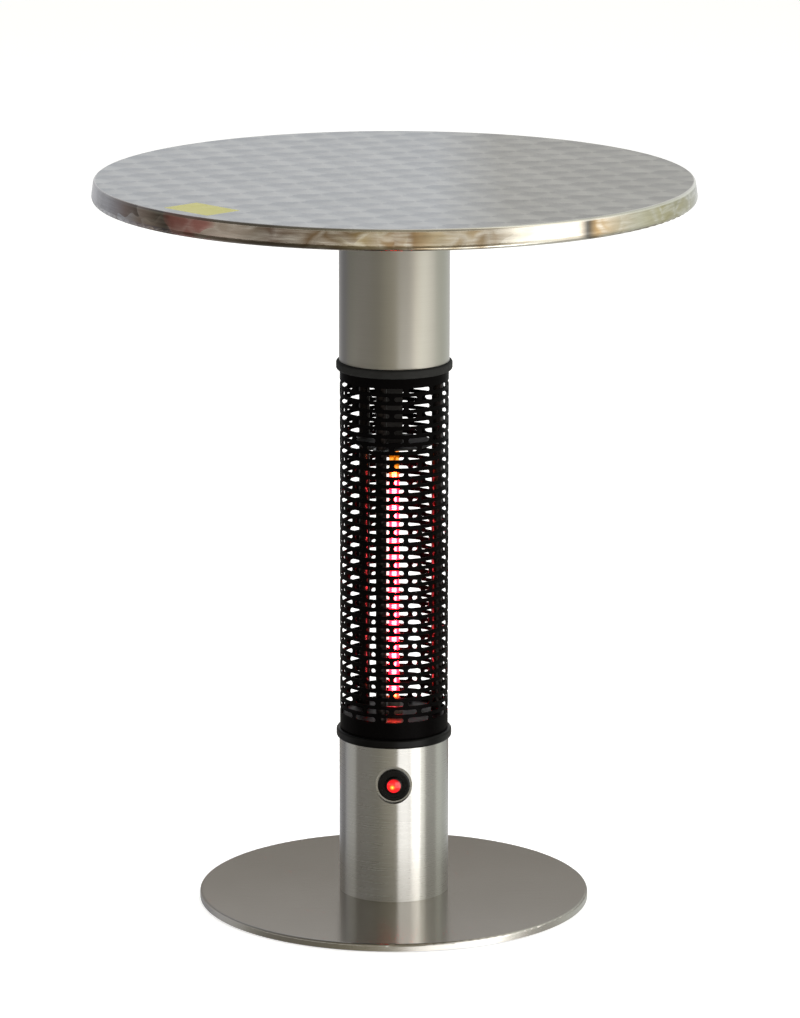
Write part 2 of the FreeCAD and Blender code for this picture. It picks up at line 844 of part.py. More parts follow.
def gland_dome_nut():
    dome = rod(gland_dome_radius, 0, gland_dome_length)
    dome = dome.makeFillet(gland_dome_length * 0.5, [dome.Edges[0]])
    inside = gland_dome_length * 0.8
    dome = dome.cut(rod(gland_bore, 0, inside))
    dome = dome.cut(rod(gland_dome_mouth, 0, gland_dome_length))
    return along_y(dome, gland_outer_y(), gland_height)


def gland_insert():
    length = gland_hex_thickness + gland_dome_length * 0.75
    sleeve = pipe(gland_bore - slip_fit, cable_radius, 0, length)
    return along_y(sleeve, gland_outer_y() - gland_hex_thickness, gland_height)


def gland_locknut():
    corner = gland_across_flats / math.sqrt(3)
    wall_y = math.sqrt(tube_bore ** 2 - corner ** 2) - slip_fit
    nut = hexagon(gland_across_flats, 0, gland_locknut_thickness)
    nut = nut.cut(rod(gland_thread_radius + slip_fit, 0, gland_locknut_thickness))
    return along_y(nut, wall_y - gland_locknut_thickness, gland_height)


# ---- electrical chassis ---------------------------------------------------------------
def component_bracket():
    plate = block(-bracket_half_width, bracket_half_width, bracket_face, bracket_back,
                  foot_ring_top, bracket_top)
    foot = block(-bracket_foot_half_width, bracket_foot_half_width, bracket_face,
                 bracket_foot_end, foot_ring_top, bracket_foot_top)
    relief = rod(base_nut_flange_radius + bracket_nut_relief, foot_ring_top, bracket_foot_top)
    foot = foot.cut(together(copies(relief, base_bolt_circle, base_bolt_angles())))
    bracket = plate.fuse(foot).removeSplitter()
    holes = [rod_y(tip_screw_radius + slip_fit, bracket_face, bracket_back,
                   x, tip_screw_height()) for x in tip_screw_offsets()]
    return bracket.cut(together(holes + chassis_screw_holes()))


def chassis_screw_holes():
    y = bracket_foot_end - chassis_screw_inset
    return [rod(chassis_screw_radius + slip_fit, base_height, bracket_foot_top, x, y)
            for x in (-chassis_screw_spacing, 0.0, chassis_screw_spacing)]


def chassis_screw(x):
    y = bracket_foot_end - chassis_screw_inset
    head = rod(chassis_head_radius, bracket_foot_top, bracket_foot_top + chassis_head_height,
               x, y)
    shank = rod(chassis_screw_radius, foot_ring_top - chassis_screw_grip,
                bracket_foot_top, x, y)
    return head.fuse(shank)


def bracket_screws():
    return together([chassis_screw(-chassis_screw_spacing),
                     chassis_screw(chassis_screw_spacing)])


def earth_screw():
    return chassis_screw(0.0)


def block_ways():
    return -block_way, 0.0, block_way


def block_rows():
    return block_bottom + block_height * 0.28, block_bottom + block_height * 0.72


def terminal_block():
    front, half = bracket_back + block_depth, block_groove_width / 2
    body = block(-block_half_width, block_half_width, bracket_back, front, block_bottom,
                 block_top)
    sockets = [rod_y(block_screw_radius + slip_fit, front - block_screw_depth, front, x, z)
               for x in block_ways() for z in block_rows()]
    grooves = [block(x - half, x + half, front - block_groove_depth, front, block_bottom,
                     block_top) for x in (-block_way / 2, block_way / 2)]
    return body.cut(together(sockets)).cut(together(grooves))


def terminal_screws():
    radius, front = block_screw_radius, bracket_back + block_depth
    sunk, cut, half = block_screw_depth * 0.12, block_screw_depth * 0.32, radius * 0.2
    screws = []
    for x in block_ways():
        for z in block_rows():
            screw = rod_y(radius, front - block_screw_depth, front - sunk, x, z)
            groove = block(x - radius, x + radius, front - cut, front, z - half, z + half)
            screws.append(screw.cut(groove))
    return together(screws)


# ---- tip-over switch ------------------------------------------------------------------
def tip_front():
    """Y of the inside of the tip switch's front plate."""
    return bracket_face - tip_plate - tip_inside_depth


def tip_middle():
    return bracket_face - tip_plate - tip_inside_depth / 2


def tip_screw_offsets():
    return -tip_screw_spacing / 2, tip_screw_spacing / 2


def tip_screw_height():
    return tip_top - tip_plate - tip_screw_head_radius


def tip_switch_frame():
    half, front = tip_half_width, tip_front()
    frame = block(-half, half, front - tip_plate, bracket_face, tip_bottom, tip_top)
    frame = frame.cut(block(-half, half, front, bracket_face - tip_plate, tip_bottom,
                            tip_top - tip_plate))
    pin_hole = rod_y(tip_pin_radius + slip_fit / 2, front - tip_plate, bracket_face,
                     z=tip_pivot_height)
    window = block(-half * 0.6, half * 0.6, front - tip_plate, front, tip_bottom,
                   tip_pivot_height - tip_arm_radius * 0.5)
    screws = [rod_y(tip_screw_radius + slip_fit, front - tip_plate, bracket_face, x,
                    tip_screw_height()) for x in tip_screw_offsets()]
    drivers = [rod_y(tip_screw_head_radius + slip_fit, front - tip_plate, front, x,
                     tip_screw_height()) for x in tip_screw_offsets()]
    return frame.cut(together([pin_hole, window] + screws + drivers))


def tip_switch_pin():
    return rod_y(tip_pin_radius, tip_front() - tip_plate, bracket_face,
                 z=tip_pivot_height)


def tip_switch_pendulum():
    """Arm and weight. The weight's foot is an arc about the pivot."""
    middle = tip_middle()
    half_arm, half_deep = tip_arm_thickness / 2, tip_weight_depth / 2
    inner = tip_arm_radius - tip_weight_height
    pivot = (0.0, tip_pivot_height)
    left, right = -90 - tip_weight_half_angle, -90 + tip_weight_half_angle
    sector = Part.Face(Part.Wire(Part.__sortEdges__(outline(
        polar(pivot, inner, left), polar(pivot, tip_arm_radius, left),
        arc_to(pivot, tip_arm_radius, left, right), polar(pivot, inner, right),
        arc_to(pivot, inner, right, left),
    ))))
    sector.translate(Vector(0, middle - half_deep, 0))
    weight = sector.extrude(Vector(0, tip_weight_depth, 0))
    arm = block(-tip_arm_half_width, tip_arm_half_width, middle - half_arm,
                middle + half_arm, tip_pivot_height - inner - 1, tip_pivot_height)
    boss = rod_y(tip_boss_radius, middle - half_arm, middle + half_arm,
                 z=tip_pivot_height)
    solid = weight.fuse([arm, boss]).removeSplitter()
    bore = rod_y(tip_pin_radius + running_clearance, middle - half_deep,
                 middle + half_deep, z=tip_pivot_height)
    return solid.cut(bore)


def tip_switch_screws():
    face = bracket_face - tip_plate
    screws = []
    for x in tip_screw_offsets():
        z = tip_screw_height()
        head = rod_y(tip_screw_head_radius, face - tip_screw_head_height, face, x, z)
        screws.append(head.fuse(rod_y(tip_screw_radius, face, bracket_back, x, z)))
    return together(screws)


def micro_switch():
    middle, top = tip_middle(), micro_top
    half_deep = tip_inside_depth / 2
    body = block(-micro_half_width, micro_half_width, middle - micro_half_depth,
                 middle + half_deep, top - micro_height, top)
    plunger = rod(micro_plunger_radius, top - 1, top + micro_plunger_height, 0, middle)
    body = body.fuse(plunger)
    for x in micro_tabs():
        body = body.fuse(block(x - 1.6, x + 1.6, middle - 0.4, middle + 0.4,
                               micro_tab_end(), top - micro_height))
    return body


def micro_tabs():
    return -micro_tab_spacing / 2, micro_tab_spacing / 2


def micro_tab_end():
    return micro_top - micro_height - micro_tab_length


# ---- internal wires -------------------------------------------------------------------
def wire_tube(name, *points):
    """A wire of straight runs joined by tangent arcs, each as large as its runs allow."""
    points = [Vector(*p) for p in points]
    edges, radii = [], []
    start = points[0]
    for before, corner, after in zip(points, points[1:], points[2:]):
        run_in, run_out = corner - before, after - corner
        reach = arc_share * min(run_in.Length, run_out.Length)
        half_turn = run_in.getAngle(run_out) / 2
        radius = reach / math.tan(half_turn)
        run_in.normalize()
        run_out.normalize()
        begin, end = corner - run_in * reach, corner + run_out * reach
        inward = run_out - run_in
        inward.normalize()
        middle = corner + inward * (radius / math.cos(half_turn) - radius)
        edges.append(Part.makeLine(start, begin))
        edges.append(Part.Arc(begin, middle, end).toShape())
        radii.append(round(radius, 1))
        start = end
    edges.append(Part.makeLine(start, points[-1]))
    path = Part.Wire(edges)
    section = Part.Wire(Part.makeCircle(wire_radius, points[0], points[1] - points[0]))
    tube = path.makePipeShell([section], True, False)
    expected = math.pi * wire_radius ** 2 * path.Length
    print(f"{name}: bend radii {radii} mm, length {path.Length:.0f} mm, "
          f"volume {tube.Volume / expected:.3f} of section times length")
    return tube


def block_end(way):
    """Where a wire enters the terminal block from above."""
    return way * block_way, bracket_back + block_depth / 2, block_top + wire_end_gap


def blade_end_at(side):
    return side * blade_spacing / 2, blade_end + wire_end_gap, switch_height


def micro_end(side):
    return side * micro_tab_spacing / 2, tip_middle(), micro_tab_end() - wire_end_gap


def wire_block_to_switch():
    (x, y, z), (blade_x, blade_y, blade_z) = block_end(1), blade_end_at(1)
    return wire_tube(
        "wire_block_to_switch",
        (x, y, z), (x, y, bracket_top + 8), (blade_x + 2, bracket_face - 2, blade_z),
        (blade_x, blade_y, blade_z),
    )


def wire_switch_to_tip():
    (blade_x, blade_y, blade_z), (tab_x, y, tab_z) = blade_end_at(-1), micro_end(-1)
    side, below = -tip_half_width - 18, tab_z - 15
    return wire_tube(
        "wire_switch_to_tip",
        (blade_x, blade_y, blade_z), (blade_x - 3, blade_y + 9, blade_z),
        (side, y, blade_z - 16), (side, y, below + 14),
        (side + 10, y, below), (tab_x, y, below - 1), (tab_x, y, tab_z),
    )


def wire_tip_to_lamp():
    tab_x, y, tab_z = micro_end(1)
    side, below = tip_half_width + 18, tab_z - 15
    tail = pan_floor - lower_cap_tail - wire_end_gap
    return wire_tube(
        "wire_tip_to_lamp",
        (tab_x, y, tab_z), (tab_x, y, below - 1), (side - 10, y, below),
        (side, y, below + 14), (side, y, tip_top + 10),
        (5, 0, lower_disc_top - 14), (0, 0, tail - 14), (0, 0, tail),
    )


def wire_block_to_lamp_top():
    """Runs up through the hollow of the left post, over the disc and down the hanger."""
    x, y, z = block_end(-1)
    post_x, post_y = around(post_circle, post_angles()[2])
    below, above = lower_disc_top - post_end_length, upper_disc_bottom + post_end_length
    room = upper_tube_top - above
    cap_top = lamp_top - cap_overlap + upper_cap_length + wire_end_gap
    return wire_tube(
        "wire_block_to_lamp_top",
        (x, y, z), (x, y, z + 16), (post_x, post_y, below - 20),
        (post_x, post_y, above + room * 0.12),
        (post_x * 0.5, post_y * 0.5, above + room * 0.22),
        (0, 0, above + room * 0.1), (0, 0, cap_top),
    )


def earth_wire():
    x, y, z = 0.0, bracket_back + block_depth / 2, block_bottom - wire_end_gap
    screw_y = bracket_foot_end - chassis_screw_inset
    seat = bracket_foot_top + chassis_head_height + wire_end_gap
    return wire_tube(
        "earth_wire",
        (x, y, z), (x, y, z - 16), (x, screw_y, seat + 14), (x, screw_y, seat),
    )


# ---- all pieces -----------------------------------------------------------------------
def pieces():
    made = {
        f.__name__: f() for f in (
            base_cover, base_plate, base_pads, base_bolts, base_nuts, foot_ring,
            lower_tube, upper_tube, lower_ring, upper_ring, guard, post_nuts,
            reflector_pan, lamp_tube, lamp_filament, lamp_leads, lamp_cap_lower,
            lamp_cap_upper, heat_shield, shield_clips, lamp_hanger, tabletop_skin,
            tabletop_core, tabletop_backing, blank_label, top_flange, flange_screws,
            switch_gasket, switch_bezel, switch_nut, switch_body, switch_terminals, indicator_lamp,
            button_cap, button_lens, button_spring, gland_body, gland_dome_nut,
            gland_insert, gland_locknut, component_bracket, bracket_screws, earth_screw,
            terminal_block, terminal_screws, tip_switch_frame, tip_switch_pin, tip_switch_pendulum,
            tip_switch_screws, micro_switch, wire_block_to_switch, wire_switch_to_tip,
            wire_tip_to_lamp, wire_block_to_lamp_top, earth_wire,
        )
    }
    for name, copy in zip(post_names, copies(post(), post_circle, post_angles())):
        made[name] = copy
    made["lower_mount_disc"] = mount_disc(lower_disc_top - mount_disc_thickness)
    made["upper_mount_disc"] = mount_disc(upper_disc_bottom)
    return made


os.makedirs("parts", exist_ok=True)
for node, shape in pieces().items():
    if not shape.isValid() or not shape.Solids:
        print("NOT A VALID SOLID:", node)
    shape.exportStep(f"parts/{node}.step")
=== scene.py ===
import math

import bpy
from mathutils import Matrix, Vector


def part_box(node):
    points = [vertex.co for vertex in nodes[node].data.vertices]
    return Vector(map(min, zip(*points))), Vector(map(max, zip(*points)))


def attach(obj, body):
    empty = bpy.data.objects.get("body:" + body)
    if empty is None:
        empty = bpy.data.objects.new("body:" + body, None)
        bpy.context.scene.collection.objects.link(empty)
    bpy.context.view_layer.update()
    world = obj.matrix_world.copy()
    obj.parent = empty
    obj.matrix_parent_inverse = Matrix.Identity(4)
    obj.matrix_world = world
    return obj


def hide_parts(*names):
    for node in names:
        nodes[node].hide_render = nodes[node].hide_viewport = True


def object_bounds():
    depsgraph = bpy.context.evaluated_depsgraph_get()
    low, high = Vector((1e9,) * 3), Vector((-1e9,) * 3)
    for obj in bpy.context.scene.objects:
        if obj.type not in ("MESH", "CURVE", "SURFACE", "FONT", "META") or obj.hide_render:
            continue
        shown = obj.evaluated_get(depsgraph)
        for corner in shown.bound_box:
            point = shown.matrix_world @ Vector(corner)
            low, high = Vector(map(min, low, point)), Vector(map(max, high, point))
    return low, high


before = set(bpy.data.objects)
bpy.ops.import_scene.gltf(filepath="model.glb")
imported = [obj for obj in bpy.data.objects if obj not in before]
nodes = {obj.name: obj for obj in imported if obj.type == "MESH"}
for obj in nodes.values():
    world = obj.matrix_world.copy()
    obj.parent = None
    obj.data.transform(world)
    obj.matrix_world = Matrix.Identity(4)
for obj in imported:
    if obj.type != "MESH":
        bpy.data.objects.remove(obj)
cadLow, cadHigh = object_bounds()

scene = bpy.context.scene
mm = 0.001


# Small helpers

def srgb(hexText, alpha=1.0):
    # sRGB hex to the linear colour that the shaders take
    parts = [int(hexText[i:i + 2], 16) / 255 for i in (1, 3, 5)]
    linear = [c / 12.92 if c <= 0.04045 else ((c + 0.055) / 1.055) ** 2.4 for c in parts]
    return (*linear, alpha)


def addNode(tree, kind, inputs=None, **settings):
    # one node, with its settings, and its inputs set to a value or linked to a socket
    node = tree.nodes.new(kind)
    for name, value in settings.items():
        setattr(node, name, value)
    for name, value in (inputs or {}).items():
        if isinstance(value, bpy.types.NodeSocket):
            tree.links.new(value, node.inputs[name])
        else:
            node.inputs[name].default_value = value
    return node


def newMaterial(name, **sockets):
    # a Principled material; keys such as BaseColor stand for the socket "Base Color"
    material = bpy.data.materials.new(name)
    material.use_nodes = True
    tree = material.node_tree
    shader = tree.nodes["Principled BSDF"]
    for key, value in sockets.items():
        words = {"IOR": "IOR", "SpecularIORLevel": "Specular IOR Level"}.get(
            key, "".join(" " + c if c.isupper() else c for c in key).strip())
        socket = shader.inputs[words]
        if isinstance(value, str):
            value = srgb(value)
        socket.default_value = value
    return material, tree, shader


def paint(material, *names):
    for name in names:
        for slot in nodes[name].material_slots:
            slot.material = material


def setRamp(ramp, stops):
    # stops are (place, colour) pairs; a colour is a hex text or a grey from 0 to 1
    elements = ramp.color_ramp.elements
    while len(elements) < len(stops):
        elements.new(1.0)
    for element, (place, colour) in zip(elements, stops):
        element.position = place
        element.color = srgb(colour) if isinstance(colour, str) else (colour, colour, colour, 1)


def objectPlace(tree):
    return addNode(tree, "ShaderNodeTexCoord").outputs["Object"]


def maths(tree, operation, *values, clamp=False):
    # one sum on numbers or sockets
    return addNode(tree, "ShaderNodeMath", dict(enumerate(values)), operation=operation,
                   use_clamp=clamp).outputs[0]


def roundPlace(tree, place, roundScale, heightScale):
    # place on an unrolled cylinder: (angle * roundScale, 0, height * heightScale)
    parts = addNode(tree, "ShaderNodeSeparateXYZ", {0: place})
    angle = maths(tree, "ARCTAN2", parts.outputs["X"], parts.outputs["Y"])
    turned = maths(tree, "MULTIPLY", angle, roundScale)
    height = maths(tree, "MULTIPLY", parts.outputs["Z"], heightScale)
    return addNode(tree, "ShaderNodeCombineXYZ", {"X": turned, "Z": height}).outputs[0]


def scaled(tree, place, factors):
    return addNode(tree, "ShaderNodeVectorMath", {0: place, 1: factors}, operation="MULTIPLY").outputs[0]


def noise(tree, place, scale, detail=3.0, roughness=0.5):
    inputs = {"Vector": place, "Scale": scale, "Detail": detail, "Roughness": roughness}
    return addNode(tree, "ShaderNodeTexNoise", inputs).outputs["Fac"]


def remap(tree, value, oldLow, oldHigh, newLow=0.0, newHigh=1.0, **settings):
    inputs = {"Value": value, "From Min": oldLow, "From Max": oldHigh, "To Min": newLow, "To Max": newHigh}
    return addNode(tree, "ShaderNodeMapRange", inputs, **settings).outputs[0]


def spread(tree, value, low, high):
    # remaps a 0.3 to 0.7 noise to a range of roughness or height
    return remap(tree, value, 0.3, 0.7, low, high)


def mixColours(tree, factor, first, second, blend="MIX"):
    node = addNode(tree, "ShaderNodeMix", data_type="RGBA", blend_type=blend)
    for index, value in ((0, factor), (6, first), (7, second)):
        if isinstance(value, bpy.types.NodeSocket):
            tree.links.new(value, node.inputs[index])
        else:
            node.inputs[index].default_value = srgb(value) if isinstance(value, str) else value
    return node.outputs[2]


def bump(tree, shader, height, distance):
    made = addNode(tree, "ShaderNodeBump", {"Height": height, "Distance": distance})
    tree.links.new(made.outputs[0], shader.inputs["Normal"])


# Tabletop: 304-grade stainless skin, circle-brushed on top in overlapping rounds, and
# mirror-polished at the rim. Its colour holds small painted shade fans on grey, a painted reflection
# cooler on the left and warmer on the right, and a painted bright rim reflection in brown, gold and white
# patches.

tabletopLook = {
    "roundPitch": 35.5 * mm,    # between the middles of neighbouring rounds
    "roundReach": 0.80,         # a round's radius, as a share of the pitch
    "gridTurn": 22,             # degrees from +X
    "coolReflectionLit": "#EAECEE",     # painted reflection, cooler on the left and warmer on the right; each side has a lit colour and a painted fan shade colour
    "coolReflectionFanShade": "#C7CBD0",
    "warmReflectionLit": "#D5D4CF",
    "warmReflectionFanShade": "#ADACA8",
    "warmReflectionFrom": 40 * mm,
    "warmReflectionTo": 110 * mm,
    "scratchPitch": 1.6 * mm,   # the real grit is 0.1 mm, too fine to show
    "scratchDepth": 0.003 * mm,
    "fanShadeDepth": 0.75,           # how far the painted shade colour shows in a fan
    "roundVariety": 0.25,       # how much one round differs from the next
    "topRoughness": 0.42,
    "topRoughnessSpread": 0.03,
    "anisotropy": 0.35,
    "rimRoughness": 0.16,
    "rimWave": 0.3 * mm,        # the rim is slightly wavy from spinning
    "edgeRadius": 299.6 * mm,   # where the brushed top ends
    "rimRadius": 304 * mm,
    "rimTop": 3.4 * mm,         # everything this far below the top belongs to the rim
    "bendHighlightBand": (3.2 * mm, 2.0 * mm),   # below the top, where the bend gets a painted highlight
    "paleReflectionFoot": (12 * mm, 21 * mm),       # below the top, where the painted rim reflection gets paler again
    "flatsRound": 9.5,          # pressed flats a radian
    "flatsHigh": 42.0,          # pressed flats a metre of height
    "flatShift": 0.04,          # how far a flat's colour is taken from beside it
    "flatWarp": (1.6, 0.0, 1.6),          # how crooked the flats are, in flats
    "seamWidth": 0.22,          # as a share of a flat
    "footReflectionPaleness": 0.45,
    "streaks": (7.0, 260.0),    # streaks a radian and a metre of height
    "waves": (14.0, 40.0),      # waves a radian and a metre of height
    "litSide": (0.25, 0.5, 0.2, 0.8),     # from 0.2 left of the first place to 0.8 right of the second
    # painted reflection colours of the pale seams and the brown streaks
    "seam": "#F2EFE6",
    "streakReflection": "#4A3A2C",
    # the colour of the painted highlight along the bend
    "bendHighlight": "#FFFDF6",
    # painted reflection across the rim, from the left end (0) to the right end (1)
    "rimPaintedReflection": (
        (0.00, "#F6F8FA"), (0.03, "#FFFFFF"), (0.055, "#FFFFFF"), (0.085, "#C5B2A9"),
        (0.12, "#463931"), (0.14, "#9D6962"), (0.185, "#976961"), (0.20, "#A09183"),
        (0.25, "#998D80"), (0.275, "#7B7062"), (0.31, "#553B2B"), (0.35, "#6B5744"),
        (0.41, "#806848"), (0.46, "#BBA97D"), (0.52, "#9F7C54"), (0.57, "#DFCEAB"),
        (0.64, "#AF9B7E"), (0.70, "#FFFCF4"), (0.79, "#F4E8D8"), (0.806, "#484C4E"),
        (0.822, "#BFA175"), (0.88, "#E1DDCB"), (0.93, "#C8BF94"), (1.00, "#BEBFB7"),
    ),
}


def struckRounds(tree, place):
    # place from the middle of the round that was struck last, and a chance value for each round
    look = tabletopLook
    turn = math.radians(look["gridTurn"])
    grid = addNode(tree, "ShaderNodeVectorRotate", {"Vector": place, "Angle": -turn}, rotation_type="Z_AXIS")
    grid = scaled(tree, grid.outputs[0], (1 / look["roundPitch"],) * 2 + (0,))
    local = addNode(tree, "ShaderNodeVectorMath", {0: grid}, operation="FRACTION").outputs[0]
    inCell = local
    for corner in ((1, 0, 0), (0, 1, 0), (1, 1, 0)):   # later rounds are struck over earlier ones
        away = addNode(tree, "ShaderNodeVectorMath", {0: inCell, 1: corner}, operation="SUBTRACT").outputs[0]
        reach = addNode(tree, "ShaderNodeVectorMath", {0: away}, operation="LENGTH").outputs["Value"]
        mix = addNode(tree, "ShaderNodeMix", data_type="VECTOR")
        tree.links.new(maths(tree, "LESS_THAN", reach, look["roundReach"]), mix.inputs[0])
        tree.links.new(local, mix.inputs[4])
        tree.links.new(away, mix.inputs[5])
        local = mix.outputs[1]
    centre = addNode(tree, "ShaderNodeVectorMath", {0: grid, 1: local}, operation="SUBTRACT").outputs[0]
    centre = addNode(tree, "ShaderNodeVectorMath", {0: centre, 1: (0.5,) * 3}, operation="ADD").outputs[0]
    centre = addNode(tree, "ShaderNodeVectorMath", {0: centre}, operation="FLOOR").outputs[0]
    chance = addNode(tree, "ShaderNodeTexWhiteNoise", {"Vector": centre}).outputs["Value"]
    return local, chance


def topPaintedShadeAndReflection(tree, bodyX, angle, chance):
    # painted shade fans: darker to the left and right of each round's middle, where the scratches
    # run away from the viewer, over a painted reflection cooler on the left and warmer on the right
    look = tabletopLook
    doubled = maths(tree, "MULTIPLY_ADD", angle, 2.0, 2 * math.radians(look["gridTurn"]))
    fanShade = remap(tree, maths(tree, "COSINE", doubled), -1.0, 1.0, 0.0, look["fanShadeDepth"])
    share = maths(tree, "MULTIPLY_ADD", chance, look["roundVariety"], fanShade)
    # painted reflection: warmer towards the right
    warmReflection = remap(tree, bodyX, look["warmReflectionFrom"], look["warmReflectionTo"])
    return mixColours(tree, share, mixColours(tree, warmReflection, look["coolReflectionLit"], look["warmReflectionLit"]),
                      mixColours(tree, warmReflection, look["coolReflectionFanShade"], look["warmReflectionFanShade"]))


def rimPaintedReflection(tree, place, bodyX, height):
    # painted reflection: colours from left to right, in flats that the press left, with soft pale seams
    look = tabletopLook
    rim = roundPlace(tree, place, look["flatsRound"], look["flatsHigh"])
    warp = addNode(tree, "ShaderNodeTexNoise", {"Vector": rim, "Scale": 0.8, "Detail": 1.0}).outputs["Color"]
    rim = addNode(tree, "ShaderNodeVectorMath", {0: warp, 1: look["flatWarp"], 2: rim},
                  operation="MULTIPLY_ADD").outputs[0]
    flats = addNode(tree, "ShaderNodeTexVoronoi", {"Vector": rim, "Scale": 1.0}).outputs["Color"]
    flatShift = addNode(tree, "ShaderNodeSeparateXYZ", {0: flats}).outputs["X"]
    across = maths(tree, "MULTIPLY_ADD", bodyX, 0.5 / look["rimRadius"], 0.5 - look["flatShift"] / 2)
    across = maths(tree, "MULTIPLY_ADD", flatShift, look["flatShift"], across)
    ramp = addNode(tree, "ShaderNodeValToRGB", {"Fac": across})
    setRamp(ramp, look["rimPaintedReflection"])

    footStart, footEnd = look["paleReflectionFoot"]
    low = remap(tree, height, cadHigh.z - footStart, cadHigh.z - footEnd)
    streaks = noise(tree, roundPlace(tree, place, *look["streaks"]), 1.0, 3.0, 0.6)
    seams = addNode(tree, "ShaderNodeTexVoronoi", {"Vector": rim, "Scale": 1.0},
                    feature="DISTANCE_TO_EDGE").outputs["Distance"]
    seams = remap(tree, seams, 0.0, look["seamWidth"], 1.0, 0.0, interpolation_type="SMOOTHSTEP")
    palerReflection = maths(tree, "MULTIPLY_ADD", low, look["footReflectionPaleness"], seams)
    palerReflection = maths(tree, "MULTIPLY", palerReflection, spread(tree, streaks, 0.1, 1.0))
    litPart = remap(tree, across, *look["litSide"])   # painted light: the left of the rim is painted as the duller side
    palerReflection = maths(tree, "MULTIPLY", palerReflection, litPart, clamp=True)
    colour = mixColours(tree, palerReflection, ramp.outputs["Color"], look["seam"])
    colour = mixColours(tree, spread(tree, streaks, 0.25, 0.0), colour, look["streakReflection"])
    # painted highlight along the top of the bend, on the lit side only
    edgeLow, edgeHigh = look["bendHighlightBand"]
    bendHighlight = remap(tree, height, cadHigh.z - edgeLow, cadHigh.z - edgeHigh)
    return mixColours(tree, maths(tree, "MULTIPLY", bendHighlight, litPart), colour, look["bendHighlight"])


def tabletopSteel():
    look = tabletopLook
    material, tree, shader = newMaterial("tabletopStainless", Metallic=1.0, Anisotropic=look["anisotropy"])
    place = objectPlace(tree)
    parts = addNode(tree, "ShaderNodeSeparateXYZ", {0: place})
    bodyX, height = parts.outputs["X"], parts.outputs["Z"]
    local, chance = struckRounds(tree, place)

    # scratches: rings round each round's middle
    radius = addNode(tree, "ShaderNodeVectorMath", {0: local}, operation="LENGTH").outputs["Value"]
    sides = addNode(tree, "ShaderNodeSeparateXYZ", {0: local})
    angle = maths(tree, "ARCTAN2", sides.outputs["Y"], sides.outputs["X"])
    rings = maths(tree, "MULTIPLY", radius, look["roundPitch"] / look["scratchPitch"])
    ringPlace = addNode(tree, "ShaderNodeCombineXYZ", {"X": rings, "Y": angle, "Z": chance}).outputs[0]
    scratch = noise(tree, ringPlace, 1.0, 2.0)

    # the top lies inside the edge radius, the rim outside it
    flat = scaled(tree, place, (1, 1, 0))
    fromMiddle = addNode(tree, "ShaderNodeVectorMath", {0: flat}, operation="LENGTH").outputs["Value"]
    onRim = remap(tree, fromMiddle, look["edgeRadius"], look["edgeRadius"] + 1.0 * mm)
    onRim = maths(tree, "MAXIMUM", onRim, maths(tree, "LESS_THAN", height, cadHigh.z - look["rimTop"]))
    colour = mixColours(tree, onRim, topPaintedShadeAndReflection(tree, bodyX, angle, chance),
                        rimPaintedReflection(tree, place, bodyX, height))
    tree.links.new(colour, shader.inputs["Base Color"])

    rough = addNode(tree, "ShaderNodeMix", {0: onRim}, data_type="FLOAT")
    tree.links.new(spread(tree, scratch, look["topRoughness"] - look["topRoughnessSpread"],
                          look["topRoughness"] + look["topRoughnessSpread"]), rough.inputs[2])
    rough.inputs[3].default_value = look["rimRoughness"]
    tree.links.new(rough.outputs[0], shader.inputs["Roughness"])

    # highlights stretch outward from each round's middle, and upright on the rim
    outward = addNode(tree, "ShaderNodeVectorRotate",
                      {"Vector": local, "Angle": math.radians(look["gridTurn"])}, rotation_type="Z_AXIS")
    tangent = addNode(tree, "ShaderNodeMix", {0: onRim}, data_type="VECTOR")
    tree.links.new(outward.outputs[0], tangent.inputs[4])
    tangent.inputs[5].default_value = (0, 0, 1)
    straight = addNode(tree, "ShaderNodeVectorMath", {0: tangent.outputs[1]}, operation="NORMALIZE")
    tree.links.new(straight.outputs[0], shader.inputs["Tangent"])

    wave = noise(tree, roundPlace(tree, place, *look["waves"]), 1.0, 1.0)
    relief = addNode(tree, "ShaderNodeMix", {0: onRim}, data_type="FLOAT")
    tree.links.new(maths(tree, "MULTIPLY", scratch, look["scratchDepth"]), relief.inputs[2])
    tree.links.new(maths(tree, "MULTIPLY", wave, look["rimWave"]), relief.inputs[3])
    bump(tree, shader, relief.outputs[0], 1.0)
    paint(material, "tabletop_skin")


tabletopSteel()
print("tabletop done")


# Column tubes: stainless, rolled and belt-brushed round. The eye gets soft upright bands
# of light, crossed by fine level lines.

tubeLook = {
    "scratchPitch": 0.9 * mm,   # the real brush lines are 0.1 mm apart, too fine to show
    "scratchLength": 60 * mm,
    "haze": "#9C9A94",
    "upper": {"light": "#CFCCC5", "dark": "#C6C3BB", "roughness": 0.36, "anisotropy": 0.85,
              "depth": 0.0015 * mm},
    "lower": {"light": "#CFCECB", "dark": "#C6C5C2", "roughness": 0.28, "anisotropy": 0.90,
              "depth": 0.0003 * mm},
}


